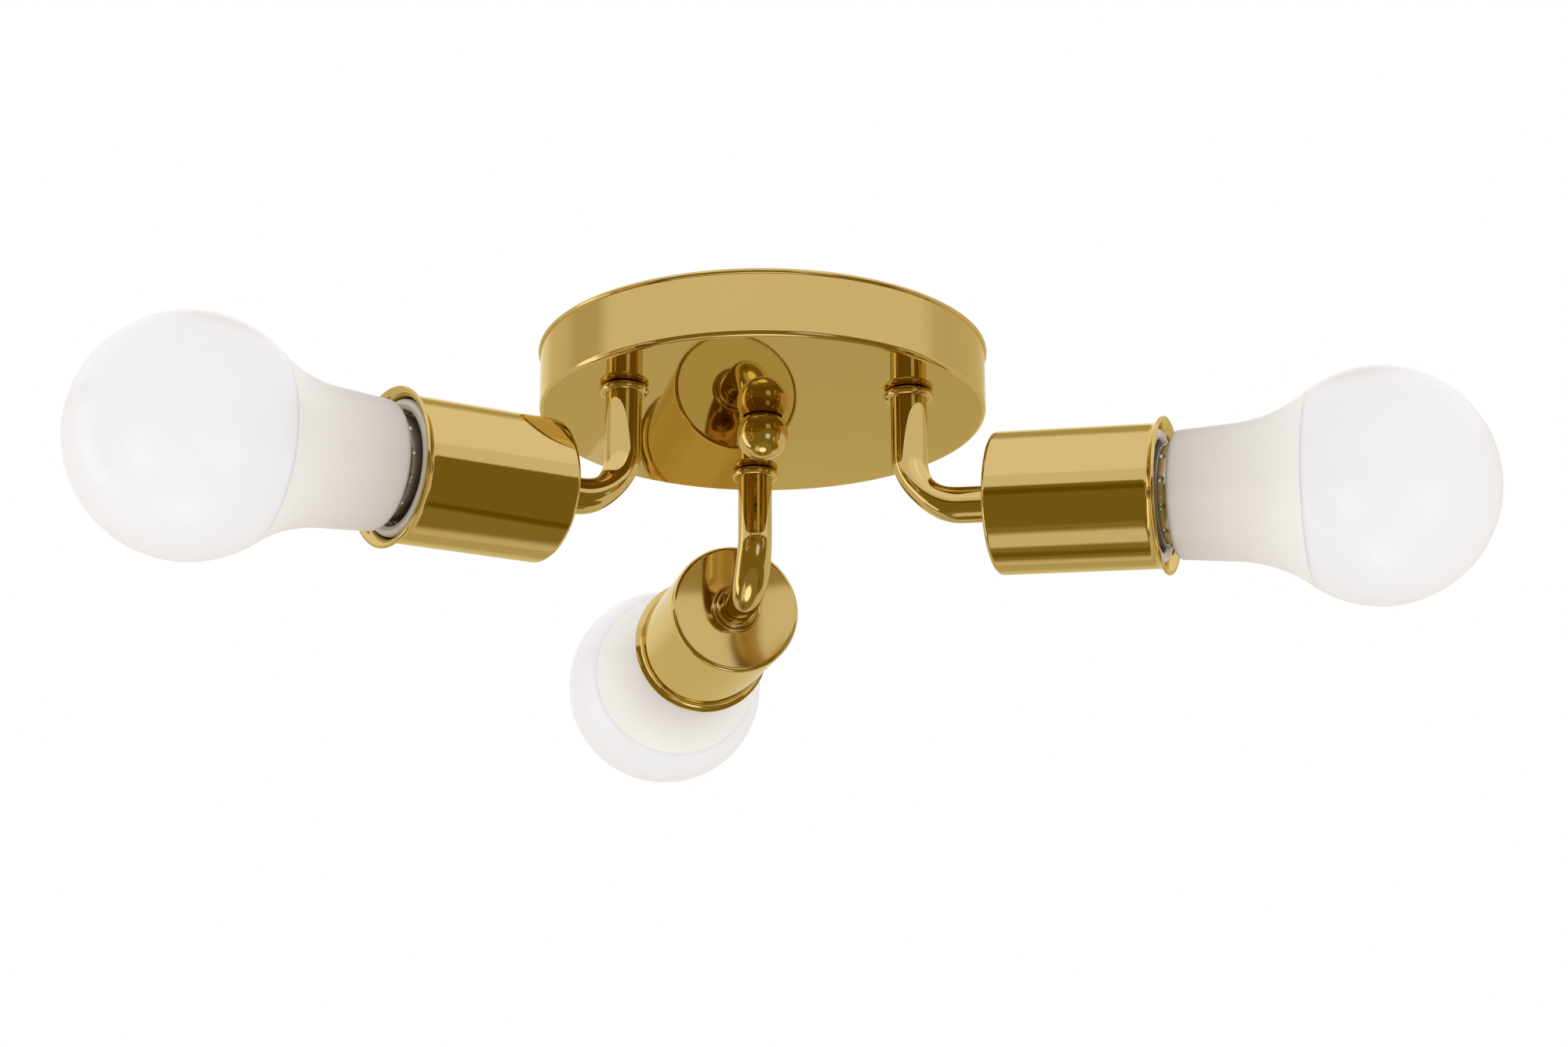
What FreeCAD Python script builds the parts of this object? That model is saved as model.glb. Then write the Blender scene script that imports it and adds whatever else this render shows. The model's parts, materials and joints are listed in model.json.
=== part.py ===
import FreeCAD, Part
import math
import os

# Semi flush ceiling light: a shallow round canopy with three bent arms, each with a cup, a lampholder
# and a bulb. Millimetres, +Z up. The origin is the centre of the canopy's rim, on the ceiling, and the
# light hangs below it. The rear arm's root lies on +Y.

V = FreeCAD.Vector
UP = V(0, 0, 1)

# ---- canopy ----
CANOPY_R = 60.0            # outer radius of the wall
CANOPY_H = 18.15           # ceiling to the flat face
CANOPY_T = 1.0             # sheet thickness
CANOPY_CORNER_R = 1.4      # outer corner between wall and face
LIP_OUT = 0.6              # how far the rolled lip stands out of the wall
LIP_H = 1.4
FACE_Z = -CANOPY_H
FACE_INNER_Z = FACE_Z + CANOPY_T

# ---- arms ----
ROOT_R = 43.2              # radius of the circle of arm roots
ARM_R = 4.75               # outer radius of the tube, a 9.5 mm tube
ARM_BORE_R = 3.75
ARM_BEND_R = 14.8          # centreline radius of the bend
ARM_TOP_Z = -12.5          # upper end of the tube, inside the canopy
ARM_END_S = 7.0            # lower end of the tube, inside the cup
REACH = 23.3               # root axis to the back of the cup
AXIS_Z = -51.5             # height of the cup's axis at its back
FLATTEN = 0.20             # how much the tube is flattened across the middle of the bend
BULGE = 0.06               # how much it widens the other way there
STATION = 1.5              # spacing of the tube's cross-sections
FIT = 0.05                 # radial clearance of a screwed or slipped fit
# Each arm: angle of its root from +Y towards +X, heading of its cup, droop of its cup. The arms are
# nipped up a little off the radial lines, as they are in the photo.
ARMS = {
    "left": (-120.0, -121.7, 3.2),
    "right": (120.0, 110.8, 3.3),
    "rear": (0.0, -10.9, -1.9),
}

# ---- collars, nuts and flanges ----
COLLAR_R = 6.45
COLLAR_H = 2.4
NUT_FLATS = 14.0
NUT_H = 3.4
FLANGE_R = 7.1
FLANGE_H = 1.7
TAG_T = 0.5                # thickness of the earth lead's ring tags

# ---- cup, along its own axis from the outside of its back ----
CUP_R = 18.55
CUP_LENGTH = 44.65
CUP_T = 1.0
CUP_CORNER_R = 1.2
CUP_LIP_R = 20.3
CUP_FLARE = 3.2            # length of the flared lip

# ---- lampholder and its metal parts ----
HOLDER_R = 17.35
HOLDER_BORE_R = 14.3
HOLDER_FRONT_S = 43.5
HOLDER_BASE_S = 9.0
HOLDER_FLOOR_S = 12.0
HOLDER_NECK_R = 7.6
HOLDER_WIRE_R = 3.4
SHELL_R = 14.1
SHELL_S = (21.5, 39.0)
STRIP_T = 0.4              # thickness of the contact strips
STRIP_HALF_W = 2.0
STRIP_GAP = 0.7            # half the gap between the strips over the leads' ends
RIVET_X = 10.5
RIVET_R = 1.0

# ---- screw thread of the 26 mm lamp cap, seven turns to the inch ----
CAP_PITCH = 25.4 / 7.0
THREAD_MEAN_R = 12.6
THREAD_DEPTH = 0.5         # amplitude of the rounded thread
THREAD_GAP = 0.25          # radial clearance between cap and shell

# ---- bulb, in the same coordinate as the cup ----
TIP_S = 19.6
INSULATOR_S = 21.0
CAP_S = 24.0
SKIRT_S = 40.2
SKIRT_R = 13.2
NECK_S = 46.6
NECK_R = 16.5
SHOULDER_S = 61.5
SHOULDER_R = 17.4
SEAM_S = 81.4
SEAM_R = 25.1
GLOBE_R = 30.0             # a 60 mm bulb
GLOBE_S = 97.5             # centre of the globe
BULB_WALL = 1.3
PUNCH_COUNT = 12
BOARD_S = 75.0
CHIP_COUNT = 8
CHIP_RING_R = 13.0

# ---- fixing parts in the canopy ----
BRACKET_HALF = 52.0
BRACKET_HALF_W = 10.0
BRACKET_T = 2.0
SLOT_CENTRE = 39.75        # covers ceiling box screws 70 to 89 mm apart
SLOT_LENGTH = 14.0
SLOT_R = 2.5
STUD_R = 3.0
STUD_PITCH = 1.0
STUD_END_Z = -26.3
STUD_HOLE_R = 3.35
BALL_R = 6.9
BALL_Z = -22.9
WASHER_T = 0.4
BALL_TOP_Z = FACE_Z - WASHER_T
BALL_HOLE_END_Z = -27.2
BLOCK_X = (13.5, 43.5)
BLOCK_HALF_W = 8.0
BLOCK_Z = (-13.0, -BRACKET_T)
POLES_X = (19.0, 29.0, 39.0)
TERMINAL_SCREW_R = 1.7
TERMINAL_SCREW_Y = 4.0
SUPPLY_ENTRY_R = 1.4       # openings for the supply cores, beside each pole on +Y
SUPPLY_OFFSET = 2.0
SUPPLY_Z = -6.5
ENTRY_DEPTH = 3.0
EARTH_X = -24.0
EARTH_SCREW_R = 2.0
LEAD_R = 0.95
LEAD_SPREAD = 1.5          # each lead's distance from the middle of the arm
LEAD_BEND_R = 3.5

# Where the leads enter the terminal block: for each arm the side of the block, the height, and for each
# lead its entry across the block and the last turn before it.
LEAD_ENDS = {
    "left": (-1, -4.6, ((16.4, 13.5), (26.4, 17.0))),
    "right": (-1, -8.5, ((31.6, 15.5), (21.6, 18.0))),
    "rear": (1, -6.5, ((16.8, 18.0), (26.8, 20.0))),
}


def polar(radius, degrees, z=0.0):
    """A point at a compass angle from +Y towards +X."""
    turn = math.radians(degrees)
    return V(radius * math.sin(turn), radius * math.cos(turn), z)


def cylinder(radius, z0, z1, x=0.0, y=0.0):
    return Part.makeCylinder(radius, z1 - z0, V(x, y, z0))


def ring(outer, inner, z0, z1):
    return cylinder(outer, z0, z1).cut(cylinder(inner, z0 - 1, z1 + 1))


def box(x, y, z):
    """A box from its (low, high) pairs."""
    return Part.makeBox(x[1] - x[0], y[1] - y[0], z[1] - z[0], V(x[0], y[0], z[0]))


def hexagon(flats, z0, z1, bore):
    """A hexagonal nut about the Z axis."""
    corner = flats / math.sqrt(3)
    points = [V(corner * math.cos(k * math.pi / 3), corner * math.sin(k * math.pi / 3), z0)
              for k in range(7)]
    prism = Part.Face(Part.makePolygon(points)).extrude(V(0, 0, z1 - z0))
    bevel = Part.makeCone(corner + 1.2, corner - 0.5, (z1 - z0) / 2 + 0.1, V(0, 0, (z0 + z1) / 2 - 0.1))
    lower = bevel.mirror(V(0, 0, (z0 + z1) / 2), UP)
    return prism.common(bevel.fuse(lower)).cut(cylinder(bore, z0 - 1, z1 + 1))


class Outline:
    """A closed outline of lines and arcs in the radius and height plane, to be turned about Z."""

    def __init__(self, r, z):
        self.start = self.at = V(r, 0, z)
        self.edges = []

    def line(self, r, z):
        self.edges.append(Part.makeLine(self.at, V(r, 0, z)))
        self.at = V(r, 0, z)
        return self

    def arc(self, through, end):
        """An arc through one (r, z) point to another."""
        middle, last = V(through[0], 0, through[1]), V(end[0], 0, end[1])
        self.edges.append(Part.Arc(self.at, middle, last).toShape())
        self.at = last
        return self

    def turned(self):
        if self.at.distanceToPoint(self.start) > 1e-7:
            self.line(self.start.x, self.start.z)
        return Part.Face(Part.Wire(self.edges)).revolve(V(0, 0, 0), UP, 360)


def spline_tube(rows):
    """A smooth surface through closed rows of points, open at both ends."""
    around, along = len(rows[0]), len(rows)
    surface = Part.BSplineSurface()
    surface.buildFromPolesMultsKnots(
        [list(column) for column in zip(*rows)],
        [1] * (around + 1), [4] + [1] * (along - 4) + [4],
        list(range(around + 1)), list(range(along - 2)),
        True, False, 3, 3)
    return surface.toShape()


def end_wires(face):
    """The two closed end edges of an open tube surface, as wires."""
    return [Part.Wire([edge]) for edge in face.Edges if edge.isClosed()]


def flat_ring(wires):
    """The flat face between two closed wires, one inside the other."""
    return Part.makeFace(wires, "Part::FaceMakerBullseye")


def walled_tube(outer_rows, inner_rows):
    """A solid tube between two surfaces given by rows of points, with flat ends."""
    outer, inner = spline_tube(outer_rows), spline_tube(inner_rows)
    caps = []
    for big in end_wires(outer):
        small = min(end_wires(inner), key=lambda w: w.CenterOfMass.distanceToPoint(big.CenterOfMass))
        caps.append(flat_ring([big, small]))
    return closed_solid([outer, inner] + caps)


def closed_solid(faces):
    shell = Part.Compound(faces)
    shell.sewShape()
    solid = Part.Solid(shell.Shells[0])
    if solid.Volume < 0:
        solid.reverse()
    return solid


def ring_poles(centre, across, along, a, b, count):
    """Poles of a closed cubic curve that is an ellipse of half axes a and b."""
    swell = 3.0 / (2.0 + math.cos(2 * math.pi / count))
    turns = [2 * math.pi * k / count for k in range(count)]
    return [centre + across * (a * swell * math.cos(t)) + along * (b * swell * math.sin(t))
            for t in turns]


# ---------------------------------------------------------------- threads

def thread_rows(radius_of, z0, z1, pitch, around, per_turn):
    """Rows of points of a surface of radius radius_of(z, turn) about Z."""
    count = max(8, round((z1 - z0) / pitch * per_turn))
    swell = 3.0 / (2.0 + math.cos(2 * math.pi / around))
    rows = []
    for i in range(count + 1):
        z = z0 + (z1 - z0) * i / count
        row = []
        for k in range(around):
            turn = 2 * math.pi * k / around
            r = radius_of(z, turn) * swell
            row.append(V(r * math.cos(turn), r * math.sin(turn), z))
        rows.append(row)
    return rows


def thread_radius(mean, depth, pitch, z0, z1, runout_side):
    """Radius of a right-handed rounded thread that runs out to plain circles at its ends.

    runout_side is -1 where it runs out to the root (a male thread) and +1 where it runs out to the
    crest (a female thread)."""
    def radius_of(z, turn):
        fade = min(1.0, (z - z0) / pitch, (z1 - z) / pitch)
        fade = fade * fade * (3 - 2 * fade)
        wave = math.cos(2 * math.pi * z / pitch - turn)
        return mean + depth * (fade * wave + (1 - fade) * runout_side)
    return radius_of


def threaded_sleeve(radius_of, plain_r, z0, z1, pitch):
    """A sleeve with one threaded side; the other side is the plain radius."""
    threaded = spline_tube(thread_rows(radius_of, z0, z1, pitch, 32, 8))
    plain = cylinder(plain_r, z0, z1).Faces
    plain = [f for f in plain if isinstance(f.Surface, Part.Cylinder)][0]
    faces = [threaded, plain]
    for wire in end_wires(threaded):
        z = wire.CenterOfMass.z
        faces.append(flat_ring([wire, Part.Wire([Part.makeCircle(plain_r, V(0, 0, z))])]))
    return closed_solid(faces)


def threaded_rod(mean, depth, pitch, z0, z1):
    """A solid rod with a rounded thread."""
    radius_of = thread_radius(mean, depth, pitch, z0, z1, -1)
    threaded = spline_tube(thread_rows(radius_of, z0, z1, pitch, 16, 6))
    return closed_solid([threaded] + [Part.Face(wire) for wire in end_wires(threaded)])


# ---------------------------------------------------------------- places

class Arm:
    """Where one arm runs. In its own plane X is the way the cup heads, and the root is at X = 0."""

    def __init__(self, name):
        self.name = name
        root_angle, self.heading, droop = ARMS[name]
        self.root = polar(ROOT_R, root_angle)
        self.place = FreeCAD.Placement(self.root, FreeCAD.Rotation(UP, 90 - self.heading))
        self.droop = math.radians(droop)
        self.axis = V(math.cos(self.droop), 0, -math.sin(self.droop))
        self.back = V(REACH, 0, AXIS_Z)
        self.turn = math.pi / 2 - self.droop
        corner = self.back - self.axis * (REACH / math.cos(self.droop))
        tangent = ARM_BEND_R * math.tan(self.turn / 2)
        self.corner = corner
        self.bend_start = corner + V(0, 0, tangent)
        self.bend_end = corner + self.axis * tangent
        self.bend_centre = self.bend_start + V(ARM_BEND_R, 0, 0)
        self.tube_end = self.back + self.axis * ARM_END_S

    def at_bend(self, angle):
        """A point of the bend's centreline, and the direction from there to the bend's centre."""
        inward = V(math.cos(angle), 0, math.sin(angle))
        return self.bend_centre - inward * ARM_BEND_R, inward

    def stations(self):
        """Centre, inward direction and depth in the bend (0 to 1) of each cross-section of the tube."""
        drop = ARM_TOP_Z - self.bend_start.z
        reach = self.bend_end.distanceToPoint(self.tube_end)
        result = [(V(0, 0, ARM_TOP_Z - drop * t), V(1, 0, 0), 0.0) for t in steps(drop)[:-1]]
        for t in steps(ARM_BEND_R * self.turn)[:-1]:
            point, inward = self.at_bend(self.turn * t)
            result.append((point, inward, math.sin(math.pi * t) ** 2))
        inward = V(math.cos(self.turn), 0, math.sin(self.turn))
        result += [(self.bend_end + self.axis * (reach * t), inward, 0.0) for t in steps(reach)]
        return result

    def tube(self):
        def rows(radius):
            thin = radius - ARM_R * FLATTEN
            wide = radius + ARM_R * BULGE
            return [ring_poles(c, n, V(0, 1, 0), radius + (thin - radius) * d,
                               radius + (wide - radius) * d, 24)
                    for c, n, d in self.stations()]
        return self.placed(walled_tube(rows(ARM_R), rows(ARM_BORE_R)))

    def placed(self, shape):
        """A shape from the arm's own plane to its place."""
        return moved(shape, self.place)

    def point(self, local):
        """A point from the arm's own plane to its place."""
        return self.place.multVec(local)

    def in_cup(self, shape):
        """A shape built along +Z from the back of a cup to its place. Its X stays level."""
        side = V(0, 1, 0)
        turn = FreeCAD.Rotation(side, self.axis.cross(side), self.axis, "ZXY")
        return self.placed(moved(shape, FreeCAD.Placement(self.back, turn)))


def moved(shape, placement):
    result = shape.copy()
    result.Placement = placement.multiply(result.Placement)
    return result


def steps(length):
    count = max(2, round(length / STATION))
    return [i / count for i in range(count + 1)]


# ---------------------------------------------------------------- canopy and its fixings

def canopy():
    r, z, t, c = CANOPY_R, FACE_Z, CANOPY_T, CANOPY_CORNER_R
    lean, lip = math.sqrt(0.5), LIP_H / 2
    shape = (Outline(0, z).line(r - c, z)
             .arc((r - c + c * lean, z + c - c * lean), (r, z + c))
             .line(r, -LIP_H)
             .arc((r + LIP_OUT, -lip), (r, 0)).line(r - t, 0)
             .line(r - t, z + c)
             .arc((r - c + (c - t) * lean, z + c - (c - t) * lean), (r - c, z + t))
             .line(0, z + t).turned())
    for angle, _, _ in ARMS.values():
        hole = polar(ROOT_R, angle)
        shape = shape.cut(cylinder(ARM_R + FIT, z - 1, z + 3, hole.x, hole.y))
    return shape.cut(cylinder(STUD_HOLE_R, z - 1, z + 3))


def mounting_bracket():
    corner = 6.0
    strip = box((-BRACKET_HALF, BRACKET_HALF), (-BRACKET_HALF_W, BRACKET_HALF_W), (-BRACKET_T, 0))
    strip = strip.makeFillet(corner, [e for e in strip.Edges if e.Length < BRACKET_T + 0.1
                                      and abs(e.BoundBox.ZLength - BRACKET_T) < 0.1])
    straight = SLOT_LENGTH / 2 - SLOT_R
    for side in (-1, 1):
        x = side * SLOT_CENTRE
        slot = box((x - straight, x + straight), (-SLOT_R, SLOT_R), (-3, 1))
        for end in (-1, 1):
            slot = slot.fuse(cylinder(SLOT_R, -3, 1, x + end * straight))
        strip = strip.cut(slot)
    strip = strip.cut(cylinder(STUD_R + FIT, -3, 1))
    return strip.cut(cylinder(EARTH_SCREW_R + FIT, -3, 1, EARTH_X))


def stud():
    return threaded_rod(STUD_R - 0.3, 0.3, STUD_PITCH, STUD_END_Z, -0.2)


def stud_nut():
    return hexagon(10.0, -BRACKET_T - 4.5, -BRACKET_T, STUD_R + FIT)


def arm_nuts():
    """The nuts inside the canopy; the left one also holds a ring tag of the earth lead."""
    nuts = []
    for name in ARMS:
        low = FACE_INNER_Z + (TAG_T if name == "left" else 0)
        nuts.append(Arm(name).placed(hexagon(NUT_FLATS, low, low + NUT_H, ARM_R + FIT)))
    return Part.Compound(nuts)


def finial_washer():
    return ring(4.6, STUD_R + 0.2, BALL_TOP_Z, FACE_Z)


def finial_ball():
    ball = Part.makeSphere(BALL_R, V(0, 0, BALL_Z))
    ball = ball.cut(cylinder(BALL_R, BALL_TOP_Z, BALL_TOP_Z + 5))
    return ball.cut(cylinder(STUD_HOLE_R, BALL_HOLE_END_Z, BALL_TOP_Z + 1))


def terminal_block():
    """A three-pole block with two screw wells a pole, and entries for the leads and the supply cores."""
    low, high = BLOCK_Z
    block = box(BLOCK_X, (-BLOCK_HALF_W, BLOCK_HALF_W), BLOCK_Z)
    block = block.makeFillet(1.0, [e for e in block.Edges if e.BoundBox.ZLength > high - low - 0.1])
    for x in (POLES_X[0] + 5, POLES_X[1] + 5):
        for side in (-1, 1):
            y = side * BLOCK_HALF_W
            groove = box((x - 0.8, x + 0.8), sorted((y - side * 1.5, y + side)), (low - 1, high + 1))
            block = block.cut(groove)
    for x in POLES_X:
        for side in (-1, 1):
            well = cylinder(TERMINAL_SCREW_R + 0.3, low - 1, low + 4, x, side * TERMINAL_SCREW_Y)
            block = block.cut(well)
    entries = [(x, side, z, LEAD_R - 0.25) for side, z, ends in LEAD_ENDS.values() for x, _ in ends]
    entries += [(x + SUPPLY_OFFSET, 1, SUPPLY_Z, SUPPLY_ENTRY_R) for x in POLES_X]
    for x, side, z, radius in entries:
        start, inwards = V(x, side * BLOCK_HALF_W, z), V(0, -side, 0)
        block = block.cut(Part.makeCylinder(radius, ENTRY_DEPTH, start, inwards))
    return block


def terminal_screws():
    """The slotted screws, sunk in their wells."""
    low, screws = BLOCK_Z[0], []
    for x in POLES_X:
        for y in (-TERMINAL_SCREW_Y, TERMINAL_SCREW_Y):
            slot = box((x - 2, x + 2), (y - 0.35, y + 0.35), (low, low + 2.0))
            screws.append(cylinder(TERMINAL_SCREW_R, low + 1.2, low + 4, x, y).cut(slot))
    return Part.Compound(screws)


def earth_screw():
    """A hexagon washer-head screw up through the earth lead's tag and the bracket."""
    top = -BRACKET_T - TAG_T
    head = hexagon(7.0, top - 3.6, top - 0.5, EARTH_SCREW_R - 0.5)
    head = head.fuse(cylinder(4.0, top - 0.9, top))
    head = head.fuse(cylinder(EARTH_SCREW_R, top - 3.0, -0.2))
    head = head.cut(box((-4, 4), (-0.4, 0.4), (top - 4, top - 2.6)))
    head.translate(V(EARTH_X, 0, 0))
    return head


def ring_tag(outer, inner, reach, barrel, barrel_z):
    """A flat ring round Z with a tongue along +X that ends in a crimped barrel. Its underside is z = 0."""
    tag = ring(outer, inner, 0, TAG_T)
    tag = tag.fuse(box((inner + 0.5, reach), (-barrel, barrel), (0, TAG_T)).cut(cylinder(inner, -1, 1)))
    crimp = Part.makeCylinder(barrel, 3.2, V(reach - 3.2, 0, barrel_z), V(1, 0, 0))
    return tag.fuse(crimp)


def earth_lead():
    """A lead with a ring tag under the left arm's nut and another under the earth screw."""
    root = polar(ROOT_R, ARMS["left"][0])
    span = V(EARTH_X, 0, 0) - root
    low, high = FACE_INNER_Z, -BRACKET_T - TAG_T
    barrel = LEAD_R + 0.45
    low_tag = ring_tag(8.2, ARM_R + FIT, 12.6, barrel, TAG_T + barrel - 0.2)
    low_tag.translate(V(0, 0, low))
    high_tag = ring_tag(4.0, EARTH_SCREW_R + FIT, 7.6, barrel, -barrel + 0.2)
    high_tag.rotate(V(0, 0, 0), UP, 180)
    high_tag.translate(V(span.Length, 0, high))
    rise_x = 16.0
    low_z, high_z = low + TAG_T + barrel - 0.2, high - barrel + 0.2
    route = [V(10, 0, low_z), V(rise_x, 0, low_z), V(rise_x, 0, high_z), V(span.Length - 5.2, 0, high_z)]
    lead = round_lead(route, [3.0, 3.0], LEAD_R)
    whole = lead.fuse([low_tag, high_tag])
    turn = FreeCAD.Rotation(UP, math.degrees(math.atan2(span.y, span.x)))
    return moved(whole, FreeCAD.Placement(root, turn))


# ---------------------------------------------------------------- arm, collar, flange and cup

def face_collar():
    r, z = COLLAR_R, FACE_Z
    waist = r - COLLAR_H / 2
    bead = (Outline(ARM_R + FIT, z).line(waist, z)
            .arc((r, z - COLLAR_H / 2), (waist, z - COLLAR_H)).line(ARM_R + FIT, z - COLLAR_H))
    return bead.turned()


def cup_flange():
    """A small dished ferrule with two rings, where the arm enters the back of the cup."""
    r, h = FLANGE_R, FLANGE_H
    return (Outline(ARM_R + FIT, 0).line(r, 0).line(r, -0.5)
            .arc((r - 0.18, -0.92), (r - 0.6, -1.1)).line(r - 1.1, -0.8)
            .arc((r - 1.35, h * -0.85), (r - 1.9, -h)).line(ARM_R + FIT, -h).turned())


def cup_nut():
    return hexagon(NUT_FLATS, CUP_T, CUP_T + NUT_H, ARM_R + FIT)


def cup():
    """A drawn cup with a round back corner and a lip that flares out to a rounded rim."""
    r, t, c, length = CUP_R, CUP_T, CUP_CORNER_R, CUP_LENGTH
    lean = math.sqrt(0.5)
    rim_r, rim_s = CUP_LIP_R - t / 2, length - t / 2
    out, along = rim_r - (r - t / 2), CUP_FLARE - t / 2
    flare_r = (out * out + along * along) / (2 * out)
    hub = (r - t / 2 + flare_r, rim_s - along)
    turn = math.asin(along / flare_r)

    def flare(radius, angle):
        return hub[0] - radius * math.cos(angle), hub[1] + radius * math.sin(angle)

    outer, inner = flare_r - t / 2, flare_r + t / 2
    nose = (rim_r + t / 2 * math.sin(turn), rim_s + t / 2 * math.cos(turn))
    return (Outline(ARM_R + FIT, 0).line(r - c, 0)
            .arc((r - c + c * lean, c - c * lean), (r, c)).line(r, hub[1])
            .arc(flare(outer, turn / 2), flare(outer, turn)).arc(nose, flare(inner, turn))
            .arc(flare(inner, turn / 2), (r - t, hub[1])).line(r - t, c)
            .arc((r - c + (c - t) * lean, c - (c - t) * lean), (r - c, t))
            .line(ARM_R + FIT, t).turned())


# ---------------------------------------------------------------- lampholder and leads

def lampholder():
    """A deep insulating cup that screws on the arm's end; its rounded front ring shows in the mouth."""
    r, bore, front = HOLDER_R, HOLDER_BORE_R, HOLDER_FRONT_S
    low = CUP_T + NUT_H
    shape = (Outline(ARM_R + FIT, low).line(HOLDER_NECK_R, low).line(HOLDER_NECK_R, HOLDER_BASE_S)
             .line(r - 1, HOLDER_BASE_S).line(r, HOLDER_BASE_S + 1).line(r, front - 1.4)
             .arc(((r + bore) / 2, front), (bore, front - 1.4)).line(bore, HOLDER_FLOOR_S)
             .line(HOLDER_WIRE_R, HOLDER_FLOOR_S).line(HOLDER_WIRE_R, ARM_END_S + 1)
             .line(ARM_R + FIT, ARM_END_S + 1).turned())
    for side in (-1, 1):
        hole = cylinder(RIVET_R + FIT, HOLDER_BASE_S - 1, HOLDER_FLOOR_S + 1, side * RIVET_X)
        shape = shape.cut(hole)
    return shape


def holder_rivets():
    """The two rivets of one lampholder."""
    rivets = []
    for side in (-1, 1):
        x, top = side * RIVET_X, HOLDER_FLOOR_S + STRIP_T
        rivet = cylinder(RIVET_R, HOLDER_BASE_S - 0.4, top + 0.3, x)
        rivet = rivet.fuse(cylinder(1.7, top, top + 0.6, x))
        rivets.append(rivet.fuse(cylinder(1.7, HOLDER_BASE_S - 0.7, HOLDER_BASE_S, x)))
    return Part.Compound(rivets)


def strip(points, half_width):
    """A thin strip of even thickness along (x, z) points, as wide as twice half_width in Y."""
    half = STRIP_T / 2
    left, right = [], []
    for i, (x, z) in enumerate(points):
        before = points[i - 1] if i else None
        after = points[i + 1] if i + 1 < len(points) else None
        normals = [unit_normal(a, b) for a, b in ((before, (x, z)), ((x, z), after)) if a and b]
        nx = sum(n[0] for n in normals)
        nz = sum(n[1] for n in normals)
        stretch = half * len(normals) / (nx * nx + nz * nz)
        left.append(V(x + nx * stretch, -half_width, z + nz * stretch))
        right.append(V(x - nx * stretch, -half_width, z - nz * stretch))
    face = Part.Face(Part.makePolygon(left + right[::-1] + left[:1]))
    return face.extrude(V(0, 2 * half_width, 0))


def unit_normal(a, b):
    dx, dz = b[0] - a[0], b[1] - a[1]
    length = math.hypot(dx, dz)
    return -dz / length, dx / length


def centre_contact():
    """The sprung tongue that bears on the bulb's tip, riveted to the lampholder's floor."""
    floor = HOLDER_FLOOR_S + STRIP_T / 2
    tongue = strip([(-STRIP_GAP, floor), (-12.4, floor), (-13.1, floor + 0.9), (-13.1, 14.8),
                    (-3.0, TIP_S - 0.75), (2.0, TIP_S - 0.55), (3.6, TIP_S - 1.3)], STRIP_HALF_W)
    return tongue.cut(cylinder(RIVET_R + FIT, HOLDER_FLOOR_S - 1, HOLDER_FLOOR_S + 1, -RIVET_X))


def screw_shell():
    """The threaded shell of the lampholder, with a strip down to the floor for its lead."""
    low, high = SHELL_S
    radius_of = thread_radius(THREAD_MEAN_R + THREAD_GAP, THREAD_DEPTH, CAP_PITCH, low, high, 1)
    sleeve = threaded_sleeve(radius_of, SHELL_R, low, high, CAP_PITCH)
    outer = SHELL_R - 0.2
    leg = box((outer - STRIP_T, outer), (-STRIP_HALF_W, STRIP_HALF_W), (HOLDER_FLOOR_S, low + 0.5))
    foot = box((STRIP_GAP, outer), (-STRIP_HALF_W, STRIP_HALF_W),
               (HOLDER_FLOOR_S, HOLDER_FLOOR_S + STRIP_T))
    foot = foot.cut(cylinder(RIVET_R + FIT, HOLDER_FLOOR_S - 1, HOLDER_FLOOR_S + 1, RIVET_X))
    return sleeve.fuse([leg.fuse(foot)])


def round_lead(points, radii, radius):
    """A round wire along straight runs that are joined by tangent arcs, one radius a turn."""
    edges, at = [], points[0]
    for before, corner, after, bend in zip(points, points[1:], points[2:], radii):
        back, on = (before - corner).normalize(), (after - corner).normalize()
        half = back.getAngle(on) / 2
        start, end = corner + back * (bend / math.tan(half)), corner + on * (bend / math.tan(half))
        middle = corner + (back + on).normalize() * (bend / math.sin(half) - bend)
        edges += [Part.makeLine(at, start), Part.Arc(start, middle, end).toShape()]
        at = end
    edges.append(Part.makeLine(at, points[-1]))
    path = Part.Wire(edges)
    section = Part.Wire([Part.makeCircle(radius, points[0], points[1] - points[0])])
    lead = path.makePipeShell([section], True, False)
    share = lead.Volume / (math.pi * radius ** 2 * path.Length)
    print("lead %.1f mm, bends %s mm, volume share %.4f" % (path.Length, radii, share))
    return lead


def lead_wires(arm):
    """The two leads from the lampholder's contacts, through the arm, to the terminal block."""
    side, height, ends = LEAD_ENDS[arm.name]
    leads = []
    for offset, (x, turn) in zip((-LEAD_SPREAD, LEAD_SPREAD), ends):
        in_arm = [arm.back + arm.axis * HOLDER_FLOOR_S, arm.corner, V(0, 0, height)]
        points = [arm.point(p + V(0, offset, 0)) for p in in_arm]
        points += [V(x, side * turn, height), V(x, side * BLOCK_HALF_W, height)]
        leads.append(round_lead(points, [ARM_BEND_R, LEAD_BEND_R, LEAD_BEND_R], LEAD_R))
    return Part.Compound(leads)


# ---------------------------------------------------------------- bulb

def lower_globe():
    """Radius of the globe's lower arc, its slope at the seam, and a function of the angle along it."""
    out, up = GLOBE_R - SEAM_R, GLOBE_S - SEAM_S
    radius = (out * out + up * up) / (2 * out)
    slope = math.asin(up / radius)

    def at(angle, inset):
        reach = radius - inset
        return GLOBE_R - radius + reach * math.cos(angle), GLOBE_S - reach * math.sin(angle)
    return slope, at


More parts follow.
